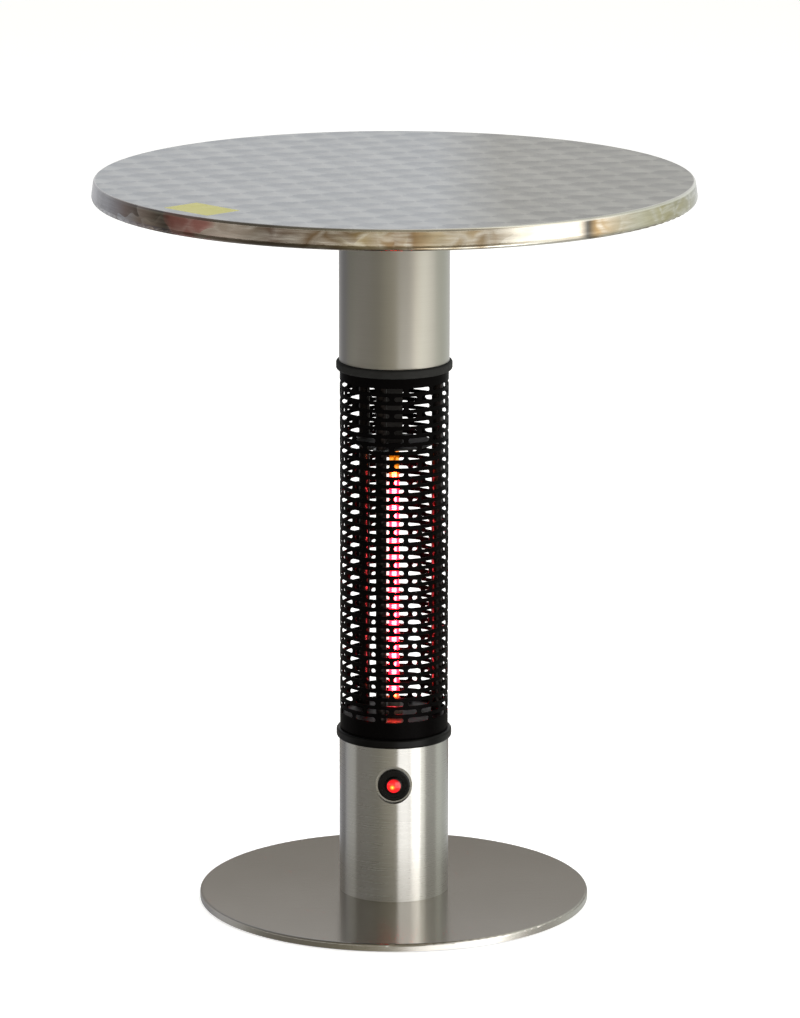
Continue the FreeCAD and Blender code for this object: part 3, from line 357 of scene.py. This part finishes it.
def tubeSteel(which, node):
    look = tubeLook[which]
    material, tree, shader = newMaterial(which + "TubeStainless", Metallic=1.0,
                                         Anisotropic=look["anisotropy"])
    place = objectPlace(tree)
    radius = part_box(node)[1].x
    lines = roundPlace(tree, place, radius / tubeLook["scratchLength"], 1 / tubeLook["scratchPitch"])
    scratch = noise(tree, lines, 1.0, 4.0, 0.6)
    cloud = noise(tree, place, 9.0, 2.0)
    colour = mixColours(tree, scratch, look["light"], look["dark"])
    colour = mixColours(tree, spread(tree, cloud, 0.0, 0.10), colour, tubeLook["haze"])
    tree.links.new(colour, shader.inputs["Base Color"])
    tree.links.new(spread(tree, scratch, look["roughness"] - 0.02, look["roughness"] + 0.03),
                   shader.inputs["Roughness"])
    upward = addNode(tree, "ShaderNodeCombineXYZ", {"Z": 1.0})   # highlights stretch across the scratches
    tree.links.new(upward.outputs[0], shader.inputs["Tangent"])
    bump(tree, shader, scratch, look["depth"])
    paint(material, node)


tubeSteel("upper", "upper_tube")
tubeSteel("lower", "lower_tube")
print("tubes done")


# Base cover: stainless sheet brushed one way, left to right. The column shows in it as a
# mirror image, sharp sideways and smeared along the view.

baseLook = {
    "light": "#CECAC4",
    "dark": "#C0BCB4",
    "roughness": 0.22,
    "anisotropy": 0.90,
    "haze": "#ADA9A0",
    # the colour of the painted highlight on the bent edge
    "edge": "#CBC8C3",
    "edgeStart": 2.4 * mm,      # inside the widest circle, where the painted highlight on the bent edge starts
    "edgeFull": 1.2 * mm,
    "scratchPitch": 0.8 * mm,   # finer on the real sheet
    "scratchLength": 90 * mm,
    "scratchDepth": 0.0007 * mm,
}


def baseSteel():
    look = baseLook
    material, tree, shader = newMaterial("baseStainless", Metallic=1.0, Anisotropic=look["anisotropy"])
    place = objectPlace(tree)
    fine = 1 / look["scratchPitch"]
    lines = scaled(tree, place, (1 / look["scratchLength"], fine, fine))
    scratch = noise(tree, lines, 1.0, 4.0, 0.65)
    cloud = noise(tree, place, 7.0, 3.0)
    colour = mixColours(tree, scratch, look["light"], look["dark"])
    colour = mixColours(tree, spread(tree, cloud, 0.0, 0.25), colour, look["haze"])
    # painted highlight: the bent edge is painted paler than the flat
    flat = scaled(tree, place, (1, 1, 0))
    fromMiddle = addNode(tree, "ShaderNodeVectorMath", {0: flat}, operation="LENGTH").outputs["Value"]
    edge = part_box("base_cover")[1].x
    onEdgeHighlight = remap(tree, fromMiddle, edge - look["edgeStart"], edge - look["edgeFull"])
    colour = mixColours(tree, onEdgeHighlight, colour, look["edge"])
    tree.links.new(colour, shader.inputs["Base Color"])
    tree.links.new(spread(tree, scratch, look["roughness"] - 0.02, look["roughness"] + 0.04),
                   shader.inputs["Roughness"])
    across = addNode(tree, "ShaderNodeCombineXYZ", {"Y": 1.0})   # highlights stretch across the scratches
    tree.links.new(across.outputs[0], shader.inputs["Tangent"])
    bump(tree, shader, scratch, look["scratchDepth"])
    paint(material, "base_cover")


baseSteel()
print("base done")


# Guard: punched mild steel in heat-resistant black enamel, fired on. Nearly black, with a
# faint orange-peel gloss.

guardLook = {
    "colour": "#050404",
    "lighter": "#080707",
    "gloss": 0.02,
    "roughness": 0.36,
    "peel": 2.2 * mm,
    "peelDepth": 0.03 * mm,
}


def guardEnamel():
    look = guardLook
    material, tree, shader = newMaterial("heatEnamel", BaseColor=look["colour"], IOR=1.5,
                                         SpecularIORLevel=look["gloss"])
    place = objectPlace(tree)
    peel = noise(tree, place, 1 / look["peel"], 2.0)
    cloud = noise(tree, place, 30.0, 3.0)
    tree.links.new(mixColours(tree, spread(tree, cloud, 0.0, 0.3), look["colour"], look["lighter"]),
                   shader.inputs["Base Color"])
    tree.links.new(spread(tree, peel, look["roughness"] - 0.06, look["roughness"] + 0.08),
                   shader.inputs["Roughness"])
    bump(tree, shader, peel, look["peelDepth"])
    paint(material, "guard")


guardEnamel()
print("guard done")


# Plastics, rubbers, paints and small metals: one recipe each, from what they are.

plainLooks = {
    # name: light and dark colour, roughness, grain and relief in mm, metallic, IOR, nodes
    "mattPhenolic": ("#1F1F1E", "#191918", 0.62, 3.0, 0.010, 0.0, 1.60, ("upper_ring",)),
    "glossPhenolic": ("#050505", "#030303", 0.34, 3.0, 0.006, 0.0, 1.60, ("lower_ring",)),
    "blackPaintedSteel": ("#1C1C1C", "#121212", 0.45, 2.5, 0.020, 0.0, 1.50, ("base_plate",)),
    "mouldedRubber": ("#1B1B1B", "#101010", 0.85, 1.2, 0.040, 0.0, 1.52,
                      ("base_pads", "switch_gasket", "gland_insert")),
    "brightZinc": ("#C3C6C6", "#A6A9AA", 0.30, 4.0, 0.010, 1.0, None,
                   ("base_bolts", "base_nuts", "post_nuts", "flange_screws", "bracket_screws",
                    "tip_switch_screws", "tip_switch_pin", "terminal_screws")),
    "zincSheet": ("#B4B8B8", "#8F9495", 0.38, 9.0, 0.012, 1.0, None,
                  ("foot_ring", "lower_mount_disc", "upper_mount_disc", "top_flange", "component_bracket")),
    "drawnPostSteel": ("#332E2D", "#262221", 0.30, 5.0, 0.010, 1.0, None,
                       ("post_front", "post_right", "post_left")),
    # the reflector pan is bright aluminium, given a dark colour here as painted shade
    "shadeDarkenedAluminium": ("#1C1513", "#130E0D", 0.36, 8.0, 0.010, 1.0, None, ("reflector_pan",)),
    "scaledSteel": ("#2A2523", "#171413", 0.55, 4.0, 0.020, 0.0, 1.50, ("heat_shield", "lamp_hanger")),
    "springSteel": ("#A9ABAD", "#86888B", 0.28, 2.0, 0.006, 1.0, None, ("shield_clips", "button_spring")),
    "nickelWire": ("#B9AE9C", "#94897A", 0.35, 1.0, 0.004, 1.0, None, ("lamp_leads",)),
    "steatite": ("#54483F", "#433931", 0.60, 1.5, 0.020, 0.0, 1.58, ("lamp_cap_lower", "lamp_cap_upper")),
    "backingLaminate": ("#2E2E2F", "#202021", 0.50, 2.0, 0.020, 0.0, 1.50, ("tabletop_backing",)),
    "blackNylon": ("#202022", "#151517", 0.48, 0.9, 0.015, 0.0, 1.53,
                   ("switch_nut", "switch_body", "gland_body", "gland_dome_nut", "gland_locknut",
                    "micro_switch")),
    "naturalNylon": ("#E2DFD6", "#CFCBC0", 0.50, 1.5, 0.015, 0.0, 1.53,
                     ("terminal_block", "tip_switch_frame")),
    "brightBrass": ("#D9B56A", "#B98F45", 0.25, 3.0, 0.008, 1.0, None,
                    ("switch_terminals", "earth_screw", "tip_switch_pendulum")),
    "blueSleeve": ("#2A55A0", "#1F4488", 0.40, 2.0, 0.008, 0.0, 1.53, ("wire_block_to_switch",)),
    "brownSleeve": ("#6A4028", "#54301C", 0.40, 2.0, 0.008, 0.0, 1.53, ("wire_switch_to_tip",)),
    "glossBlackCap": ("#0A0909", "#070606", 0.24, 6.0, 0.004, 0.0, 1.49, ("button_cap", "switch_bezel")),
}

# Black mouldings with a dull skin, which reflect less than their IOR says
dullBlacks = {"mattPhenolic": 0.22, "glossPhenolic": 0.12, "glossBlackCap": 0.22}


def plainMaterial(name):
    light, dark, rough, grain, relief, metallic, ior, parts = plainLooks[name]
    material, tree, shader = newMaterial(name, BaseColor=light, Metallic=metallic)
    if ior:
        shader.inputs["IOR"].default_value = ior
        shader.inputs["Specular IOR Level"].default_value = dullBlacks.get(name, 0.5)
    place = objectPlace(tree)
    fine = noise(tree, place, 1 / (grain * mm), 4.0, 0.6)
    broad = noise(tree, place, 0.2 / (grain * mm), 2.0)
    tree.links.new(mixColours(tree, spread(tree, broad, 0.0, 1.0), light, dark), shader.inputs["Base Color"])
    tree.links.new(spread(tree, fine, rough - 0.05, rough + 0.07), shader.inputs["Roughness"])
    bump(tree, shader, fine, relief * mm)
    paint(material, *parts)


for recipe in plainLooks:
    plainMaterial(recipe)
print("plain materials done:", len(plainLooks))


# Board: fibreboard, sanded. Fine fibres show at its drilled and cut faces.

boardLook = {"light": "#B08A5E", "dark": "#94714A", "fibre": 1.1 * mm, "relief": 0.06 * mm}


def fibreboard():
    look = boardLook
    material, tree, shader = newMaterial("fibreboard", Roughness=0.85, IOR=1.47)
    place = objectPlace(tree)
    fibre = noise(tree, scaled(tree, place, (1, 1, 4)), 1 / look["fibre"], 5.0, 0.7)
    tree.links.new(mixColours(tree, fibre, look["light"], look["dark"]), shader.inputs["Base Color"])
    bump(tree, shader, fibre, look["relief"])
    paint(material, "tabletop_core")


# Sleeves with a pattern: woven glass fibre on the lamp wires, and green with a yellow
# stripe on the earth.

sleeveLook = {
    "glass": ("#E6E2D8", "#BDB8AC"),
    "weave": 0.7 * mm,
    "weaveDepth": 0.08 * mm,
    "earth": ("#3E9A3A", "#E0D23A"),
    "stripe": 9 * mm,
}


def wireSleeves():
    look = sleeveLook
    material, tree, shader = newMaterial("glassFibreSleeve", Roughness=0.8, IOR=1.5)
    place = objectPlace(tree)
    weave = addNode(tree, "ShaderNodeTexChecker", {"Vector": place, "Scale": 1 / look["weave"]})
    weave = weave.outputs["Fac"]
    tree.links.new(mixColours(tree, weave, *look["glass"]), shader.inputs["Base Color"])
    bump(tree, shader, weave, look["weaveDepth"])
    paint(material, "wire_tip_to_lamp", "wire_block_to_lamp_top")
    material, tree, shader = newMaterial("earthSleeve", Roughness=0.42, IOR=1.53)
    wave = addNode(tree, "ShaderNodeTexWave",
                   {"Vector": objectPlace(tree), "Scale": 0.3 / look["stripe"], "Distortion": 0.0},
                   bands_direction="DIAGONAL").outputs["Fac"]
    striped = maths(tree, "GREATER_THAN", wave, 0.5)
    tree.links.new(mixColours(tree, striped, *look["earth"]), shader.inputs["Base Color"])
    paint(material, "earth_wire")


# Label: a plain yellow vinyl diamond, blank, a little worn at its surface.

labelLook = {"light": "#B0AD70", "dark": "#A7A466", "roughness": 0.5, "wearDepth": 0.02 * mm}


def labelVinyl():
    look = labelLook
    material, tree, shader = newMaterial("yellowVinyl", Roughness=look["roughness"], IOR=1.53)
    place = objectPlace(tree)
    wear = noise(tree, place, 90.0, 4.0, 0.6)
    tree.links.new(mixColours(tree, wear, look["light"], look["dark"]), shader.inputs["Base Color"])
    tree.links.new(spread(tree, wear, look["roughness"] - 0.08, look["roughness"] + 0.12),
                   shader.inputs["Roughness"])
    bump(tree, shader, wear, look["wearDepth"])
    paint(material, "blank_label")


fibreboard()
wireSleeves()
labelVinyl()
print("board, sleeves and label done")


# Lamp: a wound tungsten coil in a ruby-tinted fused-quartz tube. The coil is pink-white,
# orange at its cooler ends, and the tube glows red round it.

lampLook = {
    "coilRadius": 1.9 * mm,
    "wireRadius": 0.62 * mm,
    "coilPitch": 1.9 * mm,
    "stepsPerTurn": 14,
    "sides": 6,
    "tungsten": "#5A4A44",
    "hotColour": "#FFB0AC",
    "hotStrength": 130.0,
    "coolColour": "#FF8A1E",
    "coolStrength": 8.0,
    "coolLength": 9 * mm,
    "glassHot": "#FF6A7E",      # the ruby tube, where the coil heats it
    "glassCool": "#FFC478",     # its amber ends
    "glassGlow": "#FF0C1E",
    "glassEndGlow": "#201000",
    "glassStrength": 8.0,
    # how hot the glass is, from the coil's lower end (0) to its upper end (1)
    "heatStops": ((0.0, 0.0), (0.03, 1.0), (0.95, 1.0), (0.99, 0.0)),
}


def coilMesh(low, high):
    # a round wire wound up from low to high, closed at both ends
    look = lampLook
    turns = (high.z - low.z - 2 * look["wireRadius"]) / look["coilPitch"]
    steps = int(turns * look["stepsPerTurn"])
    verts, faces = [], []
    slope = look["coilPitch"] / (2 * math.pi)
    sides = look["sides"]
    for i in range(steps + 1):
        angle = 2 * math.pi * turns * i / steps
        outward = Vector((math.cos(angle), math.sin(angle), 0))
        along = Vector((-math.sin(angle) * look["coilRadius"], math.cos(angle) * look["coilRadius"], slope))
        upward = outward.cross(along).normalized()
        middle = outward * look["coilRadius"]
        middle.z = low.z + look["wireRadius"] + slope * angle
        for k in range(sides):
            side = 2 * math.pi * k / sides
            verts.append(middle + (outward * math.cos(side) + upward * math.sin(side)) * look["wireRadius"])
    for i in range(steps):
        for k in range(sides):
            a, b = i * sides + k, i * sides + (k + 1) % sides
            faces.append((a, b, b + sides, a + sides))
    faces.append(tuple(reversed(range(sides))))
    faces.append(tuple(steps * sides + k for k in range(sides)))
    mesh = bpy.data.meshes.new("heating_coil")
    mesh.from_pydata(verts, [], faces)
    mesh.polygons.foreach_set("use_smooth", [True] * len(faces))
    return mesh


def lampCoil():
    look = lampLook
    low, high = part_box("lamp_filament")
    mesh = coilMesh(low, high)
    coil = bpy.data.objects.new("heating_coil", mesh)
    scene.collection.objects.link(coil)

    material, tree, shader = newMaterial("hotTungsten", BaseColor=look["tungsten"], Metallic=1.0,
                                         Roughness=0.5)
    height = addNode(tree, "ShaderNodeSeparateXYZ", {0: objectPlace(tree)}).outputs["Z"]
    fromEnd = []
    for edge, sign in ((low.z, 1), (high.z, -1)):
        gap = maths(tree, "SUBTRACT", height, edge)
        fromEnd.append(maths(tree, "MULTIPLY", gap, sign / look["coolLength"]))
    heat = maths(tree, "MINIMUM", *fromEnd, clamp=True)   # 0 at the ends, 1 past the cool length
    tree.links.new(mixColours(tree, heat, look["coolColour"], look["hotColour"]),
                   shader.inputs["Emission Color"])
    glow = remap(tree, heat, 0.0, 1.0, look["coolStrength"], look["hotStrength"])
    tree.links.new(glow, shader.inputs["Emission Strength"])
    mesh.materials.append(material)
    coil.visible_diffuse = coil.visible_glossy = False   # its light comes out through the ruby tube
    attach(coil, "table")
    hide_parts("lamp_filament")


def lampTube():
    look = lampLook
    low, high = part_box("lamp_filament")
    material, tree, shader = newMaterial("rubyQuartz", BaseColor=look["glassHot"], Roughness=0.02, IOR=1.458,
                                         TransmissionWeight=1.0)
    height = addNode(tree, "ShaderNodeSeparateXYZ", {0: objectPlace(tree)}).outputs["Z"]
    ramp = addNode(tree, "ShaderNodeValToRGB", {"Fac": remap(tree, height, low.z, high.z)})
    setRamp(ramp, look["heatStops"])
    heat = ramp.outputs["Color"]
    tree.links.new(mixColours(tree, heat, look["glassCool"], look["glassHot"]), shader.inputs["Base Color"])
    tree.links.new(mixColours(tree, heat, look["glassEndGlow"], look["glassGlow"]),
                   shader.inputs["Emission Color"])
    haze = noise(tree, objectPlace(tree), 60.0, 2.0)
    tree.links.new(spread(tree, haze, 0.01, 0.06), shader.inputs["Roughness"])
    shader.inputs["Emission Strength"].default_value = look["glassStrength"]
    paint(material, "lamp_tube")
    nodes["lamp_tube"].visible_shadow = False


# Button: gloss black cap with a red polycarbonate lens, lit from behind by a neon.

lensLook = {
    "body": "#B00A10",
    "strength": 1.6,
    "glowLeft": 1.6 * mm,       # the glow's middle, from the lens's middle
    "glowDown": 1.2 * mm,
    "glowPastEdge": 1.6 * mm,   # how much wider the glow is than the lens
    # from the glow's middle (0) outward
    "glow": ((0.0, "#FFE070"), (0.12, "#FFB030"), (0.30, "#FF2818"), (0.60, "#D8141C"), (1.0, "#5A0408")),
    "neonGlass": "#FFB070",
    "neonGlow": "#FF7A30",
    "neonStrength": 2.0,
}


def buttonLens():
    look = lensLook
    low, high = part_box("button_lens")
    middle = (low + high) / 2
    material, tree, shader = newMaterial("redPolycarbonate", BaseColor=look["body"], Roughness=0.12,
                                         IOR=1.586)
    place = objectPlace(tree)
    hot = (middle.x - look["glowLeft"], middle.y, middle.z - look["glowDown"])
    away = addNode(tree, "ShaderNodeVectorMath", {0: place, 1: hot}, operation="SUBTRACT").outputs[0]
    away = scaled(tree, away, (1, 0, 1))
    reach = addNode(tree, "ShaderNodeVectorMath", {0: away}, operation="LENGTH").outputs["Value"]
    part = maths(tree, "DIVIDE", reach, (high.x - low.x) / 2 + look["glowPastEdge"])
    ramp = addNode(tree, "ShaderNodeValToRGB", {"Fac": part})
    setRamp(ramp, look["glow"])
    tree.links.new(ramp.outputs["Color"], shader.inputs["Emission Color"])
    shader.inputs["Emission Strength"].default_value = look["strength"]
    grain = noise(tree, place, 500.0, 2.0)
    tree.links.new(spread(tree, grain, 0.08, 0.18), shader.inputs["Roughness"])
    paint(material, "button_lens")


def buttonNeon():
    look = lensLook
    material, tree, shader = newMaterial("neonGlass", BaseColor=look["neonGlass"], Roughness=0.05, IOR=1.5,
                                         TransmissionWeight=0.6)
    haze = noise(tree, objectPlace(tree), 300.0, 2.0)
    tree.links.new(spread(tree, haze, 0.03, 0.12), shader.inputs["Roughness"])
    shader.inputs["Emission Color"].default_value = srgb(look["neonGlow"])
    shader.inputs["Emission Strength"].default_value = look["neonStrength"]
    paint(material, "indicator_lamp")


lampCoil()
lampTube()
buttonLens()
buttonNeon()
print("lamp and button done")


# Floor, light and camera

studioLook = {
    "floorLight": "#E8E8E8",
    "floorDark": "#E4E4E4",
    "floorGlow": 0.62,          # keeps the far floor as pale as the near
    "floorSize": 40.0,
    "backdrop": (1, 1, 1, 1),
    "wallStrength": 1.3,
    # round the room: 0.5 is the camera's side, 0.75 the right, 0.25 the left, 0 and 1 behind
    "walls": ((0, "#D2D2D2"), (0.05, "#A3A3A6"), (0.1, "#828285"), (0.144, "#737377"),
              (0.22, "#7E7D76"), (0.3, "#6B6760"), (0.333, "#6A675F"), (0.403, "#6B675A"),
              (0.46, "#858070"), (0.5, "#928D7D"), (0.56, "#817C6F"), (0.605, "#8E887A"),
              (0.64, "#DBD4C4"), (0.665, "#FFFFF5"), (0.7, "#FFFDF2"), (0.735, "#EDEBE3"),
              (0.787, "#C7C9C0"), (0.856, "#BDC0B9"), (0.94, "#C4C6C4"), (1, "#D2D2D2")),
    # how bright the room is from straight below (0) through level (0.5) to straight above (1)
    "heights": ((0.0, 0.7), (0.35, 0.95), (0.56, 1.0), (0.66, 0.85), (1.0, 0.7)),
    # a pale band on the front walls, a little under and over level (0.5)
    "band": ((0.40, 0.0), (0.46, 0.8), (0.66, 0.8), (0.74, 0.0)),
    "bandStrength": 0.9,
    # name, power, size, place, aim
    "softboxes": (("keySoftbox", 70.0, (1.6, 2.4), (3.4, -2.6, 2.4), (0, 0, 0.4)),
                  ("fillSoftbox", 40.0, (2.0, 2.4), (-3.8, -2.2, 2.0), (0, 0, 0.4)),
                  ("topSoftbox", 120.0, (3.0, 3.0), (0, 0.6, 4.2), (0, 0, 0))),
    "cardHeight": 0.50,
    "cardMiddle": 0.08,
    "cardReach": 0.59,
    # name, turn, width, radiance
    "cards": (("leftCard", -101, 0.36, 0.27), ("middleCard", 20, 0.25, 1.7), ("rightCard", 44, 0.22, 2.1)),
    # name, turn, reach, width, lower edge, upper edge, colours
    "screens": (("backScreen", 180, 0.45, 1.8, 0.0, 0.265, ("#999590", "#938F89")),
                ("sideScreen", 81, 0.59, 0.32, -0.2, 0.33, ("#B0AFA8", "#AAA9A2"))),
}

# A long lens, 5.4 m away and 1.64 m up, tilted down
cameraLook = {
    "lens": 192.5,
    "sensor": 36.0,
    "place": (0, -5.3983, 1.6435),
    "pan": -0.00110,
    "tiltDown": 12.885,         # degrees
    "roll": 0.0012,
}


def makeFloor():
    look = studioLook
    half = look["floorSize"] / 2
    mesh = bpy.data.meshes.new("floor")
    corners = [(-half, -half, 0), (half, -half, 0), (half, half, 0), (-half, half, 0)]
    mesh.from_pydata(corners, [], [(0, 1, 2, 3)])
    floor = bpy.data.objects.new("floor", mesh)
    scene.collection.objects.link(floor)
    material, tree, shader = newMaterial("paleFloor", BaseColor=look["floorLight"], Roughness=0.9)
    cloud = noise(tree, objectPlace(tree), 0.8, 2.0)
    tree.links.new(mixColours(tree, cloud, look["floorLight"], look["floorDark"]),
                   shader.inputs["Base Color"])
    shader.inputs["Emission Color"].default_value = (1, 1, 1, 1)
    shader.inputs["Emission Strength"].default_value = look["floorGlow"]
    mesh.materials.append(material)
    floor.visible_glossy = False


def makeWorld():
    # the camera sees plain white; the metal sees a studio with soft bright and dark sides
    look = studioLook
    world = bpy.data.worlds.new("studio")
    scene.world = world
    world.use_nodes = True
    tree = world.node_tree
    background = tree.nodes["Background"]
    place = addNode(tree, "ShaderNodeTexCoord").outputs["Generated"]
    parts = addNode(tree, "ShaderNodeSeparateXYZ", {0: place})
    forward = maths(tree, "MULTIPLY", parts.outputs["Y"], -1.0)
    up = parts.outputs["Z"]
    angle = maths(tree, "ARCTAN2", parts.outputs["X"], forward)
    walls = addNode(tree, "ShaderNodeValToRGB",
                    {"Fac": maths(tree, "MULTIPLY_ADD", angle, 0.5 / math.pi, 0.5)})
    setRamp(walls, look["walls"])
    walls.color_ramp.interpolation = "EASE"
    heights = addNode(tree, "ShaderNodeValToRGB", {"Fac": maths(tree, "MULTIPLY_ADD", up, 0.5, 0.5)})
    setRamp(heights, look["heights"])
    studio = mixColours(tree, 1.0, walls.outputs["Color"], heights.outputs["Color"], "MULTIPLY")
    band = addNode(tree, "ShaderNodeValToRGB", {"Fac": maths(tree, "MULTIPLY_ADD", up, 2.0, 0.5)})
    setRamp(band, look["band"])
    front = remap(tree, forward, -0.1, 0.4, 0.0, look["bandStrength"])
    studio = mixColours(tree, 1.0, studio, maths(tree, "MULTIPLY", band.outputs["Color"], front), "ADD")
    seen = addNode(tree, "ShaderNodeLightPath").outputs["Is Camera Ray"]
    tree.links.new(mixColours(tree, seen, studio, look["backdrop"]), background.inputs["Color"])
    background.inputs["Strength"].default_value = look["wallStrength"]


def addSoftbox(name, power, size, place, target):
    lamp = bpy.data.lights.new(name, "AREA")
    lamp.energy, lamp.shape, lamp.size, lamp.size_y = power, "RECTANGLE", *size
    holder = bpy.data.objects.new(name, lamp)
    scene.collection.objects.link(holder)
    holder.location = place
    holder.rotation_euler = (Vector(target) - Vector(place)).to_track_quat("-Z", "Y").to_euler()
    holder.visible_glossy = False   # the metal sees the walls, cards and screens instead
    return holder


def addCard(name, turn, width, radiance):
    # a card by the foot that only the metal sees, out of the upper tube's sight;
    # turn is its angle in degrees from the front towards the right
    look = studioLook
    height, middle, reach = look["cardHeight"], look["cardMiddle"], look["cardReach"]
    angle = math.radians(turn)
    place = (reach * math.sin(angle), -reach * math.cos(angle), middle)
    card = addSoftbox(name, radiance * math.pi * width * height, (width, height), place, (0, 0, middle))
    card.visible_glossy = True
    card.visible_camera = card.visible_diffuse = False


def addScreen(name, turn, reach, width, low, high, colours):
    # a grey screen that only the metal sees, standing low round the foot
    mesh = bpy.data.meshes.new(name)
    half = width / 2
    corners = [(-half, 0, low), (half, 0, low), (half, 0, high), (-half, 0, high)]
    mesh.from_pydata(corners, [], [(0, 1, 2, 3)])
    screen = bpy.data.objects.new(name, mesh)
    scene.collection.objects.link(screen)
    angle = math.radians(turn)
    screen.location = (reach * math.sin(angle), -reach * math.cos(angle), 0)
    screen.rotation_euler = (0, 0, angle)
    material, tree, shader = newMaterial(name, BaseColor="#000000", Roughness=1.0)
    cloud = noise(tree, objectPlace(tree), 3.0, 1.0)
    tree.links.new(mixColours(tree, cloud, *colours), shader.inputs["Emission Color"])
    shader.inputs["Emission Strength"].default_value = 1.0
    mesh.materials.append(material)
    for sight in ("camera", "diffuse", "transmission", "shadow", "volume_scatter"):
        setattr(screen, "visible_" + sight, False)


def makeCamera():
    look = cameraLook
    lens = bpy.data.cameras.new("camera")
    lens.lens, lens.sensor_width, lens.sensor_fit = look["lens"], look["sensor"], "AUTO"
    camera = bpy.data.objects.new("camera", lens)
    scene.collection.objects.link(camera)
    pan = Matrix.Rotation(look["pan"], 4, "Z")
    tilt = Matrix.Rotation(math.radians(90 - look["tiltDown"]), 4, "X")
    roll = Matrix.Rotation(look["roll"], 4, "Z")
    camera.matrix_world = Matrix.Translation(look["place"]) @ pan @ tilt @ roll
    lens.clip_end = 100
    scene.camera = camera


makeFloor()
makeWorld()
for softbox in studioLook["softboxes"]:
    addSoftbox(*softbox)
for card in studioLook["cards"]:
    addCard(*card)
for screen in studioLook["screens"]:
    addScreen(*screen)
makeCamera()
scene.view_settings.view_transform = "Standard"
print("stage done")
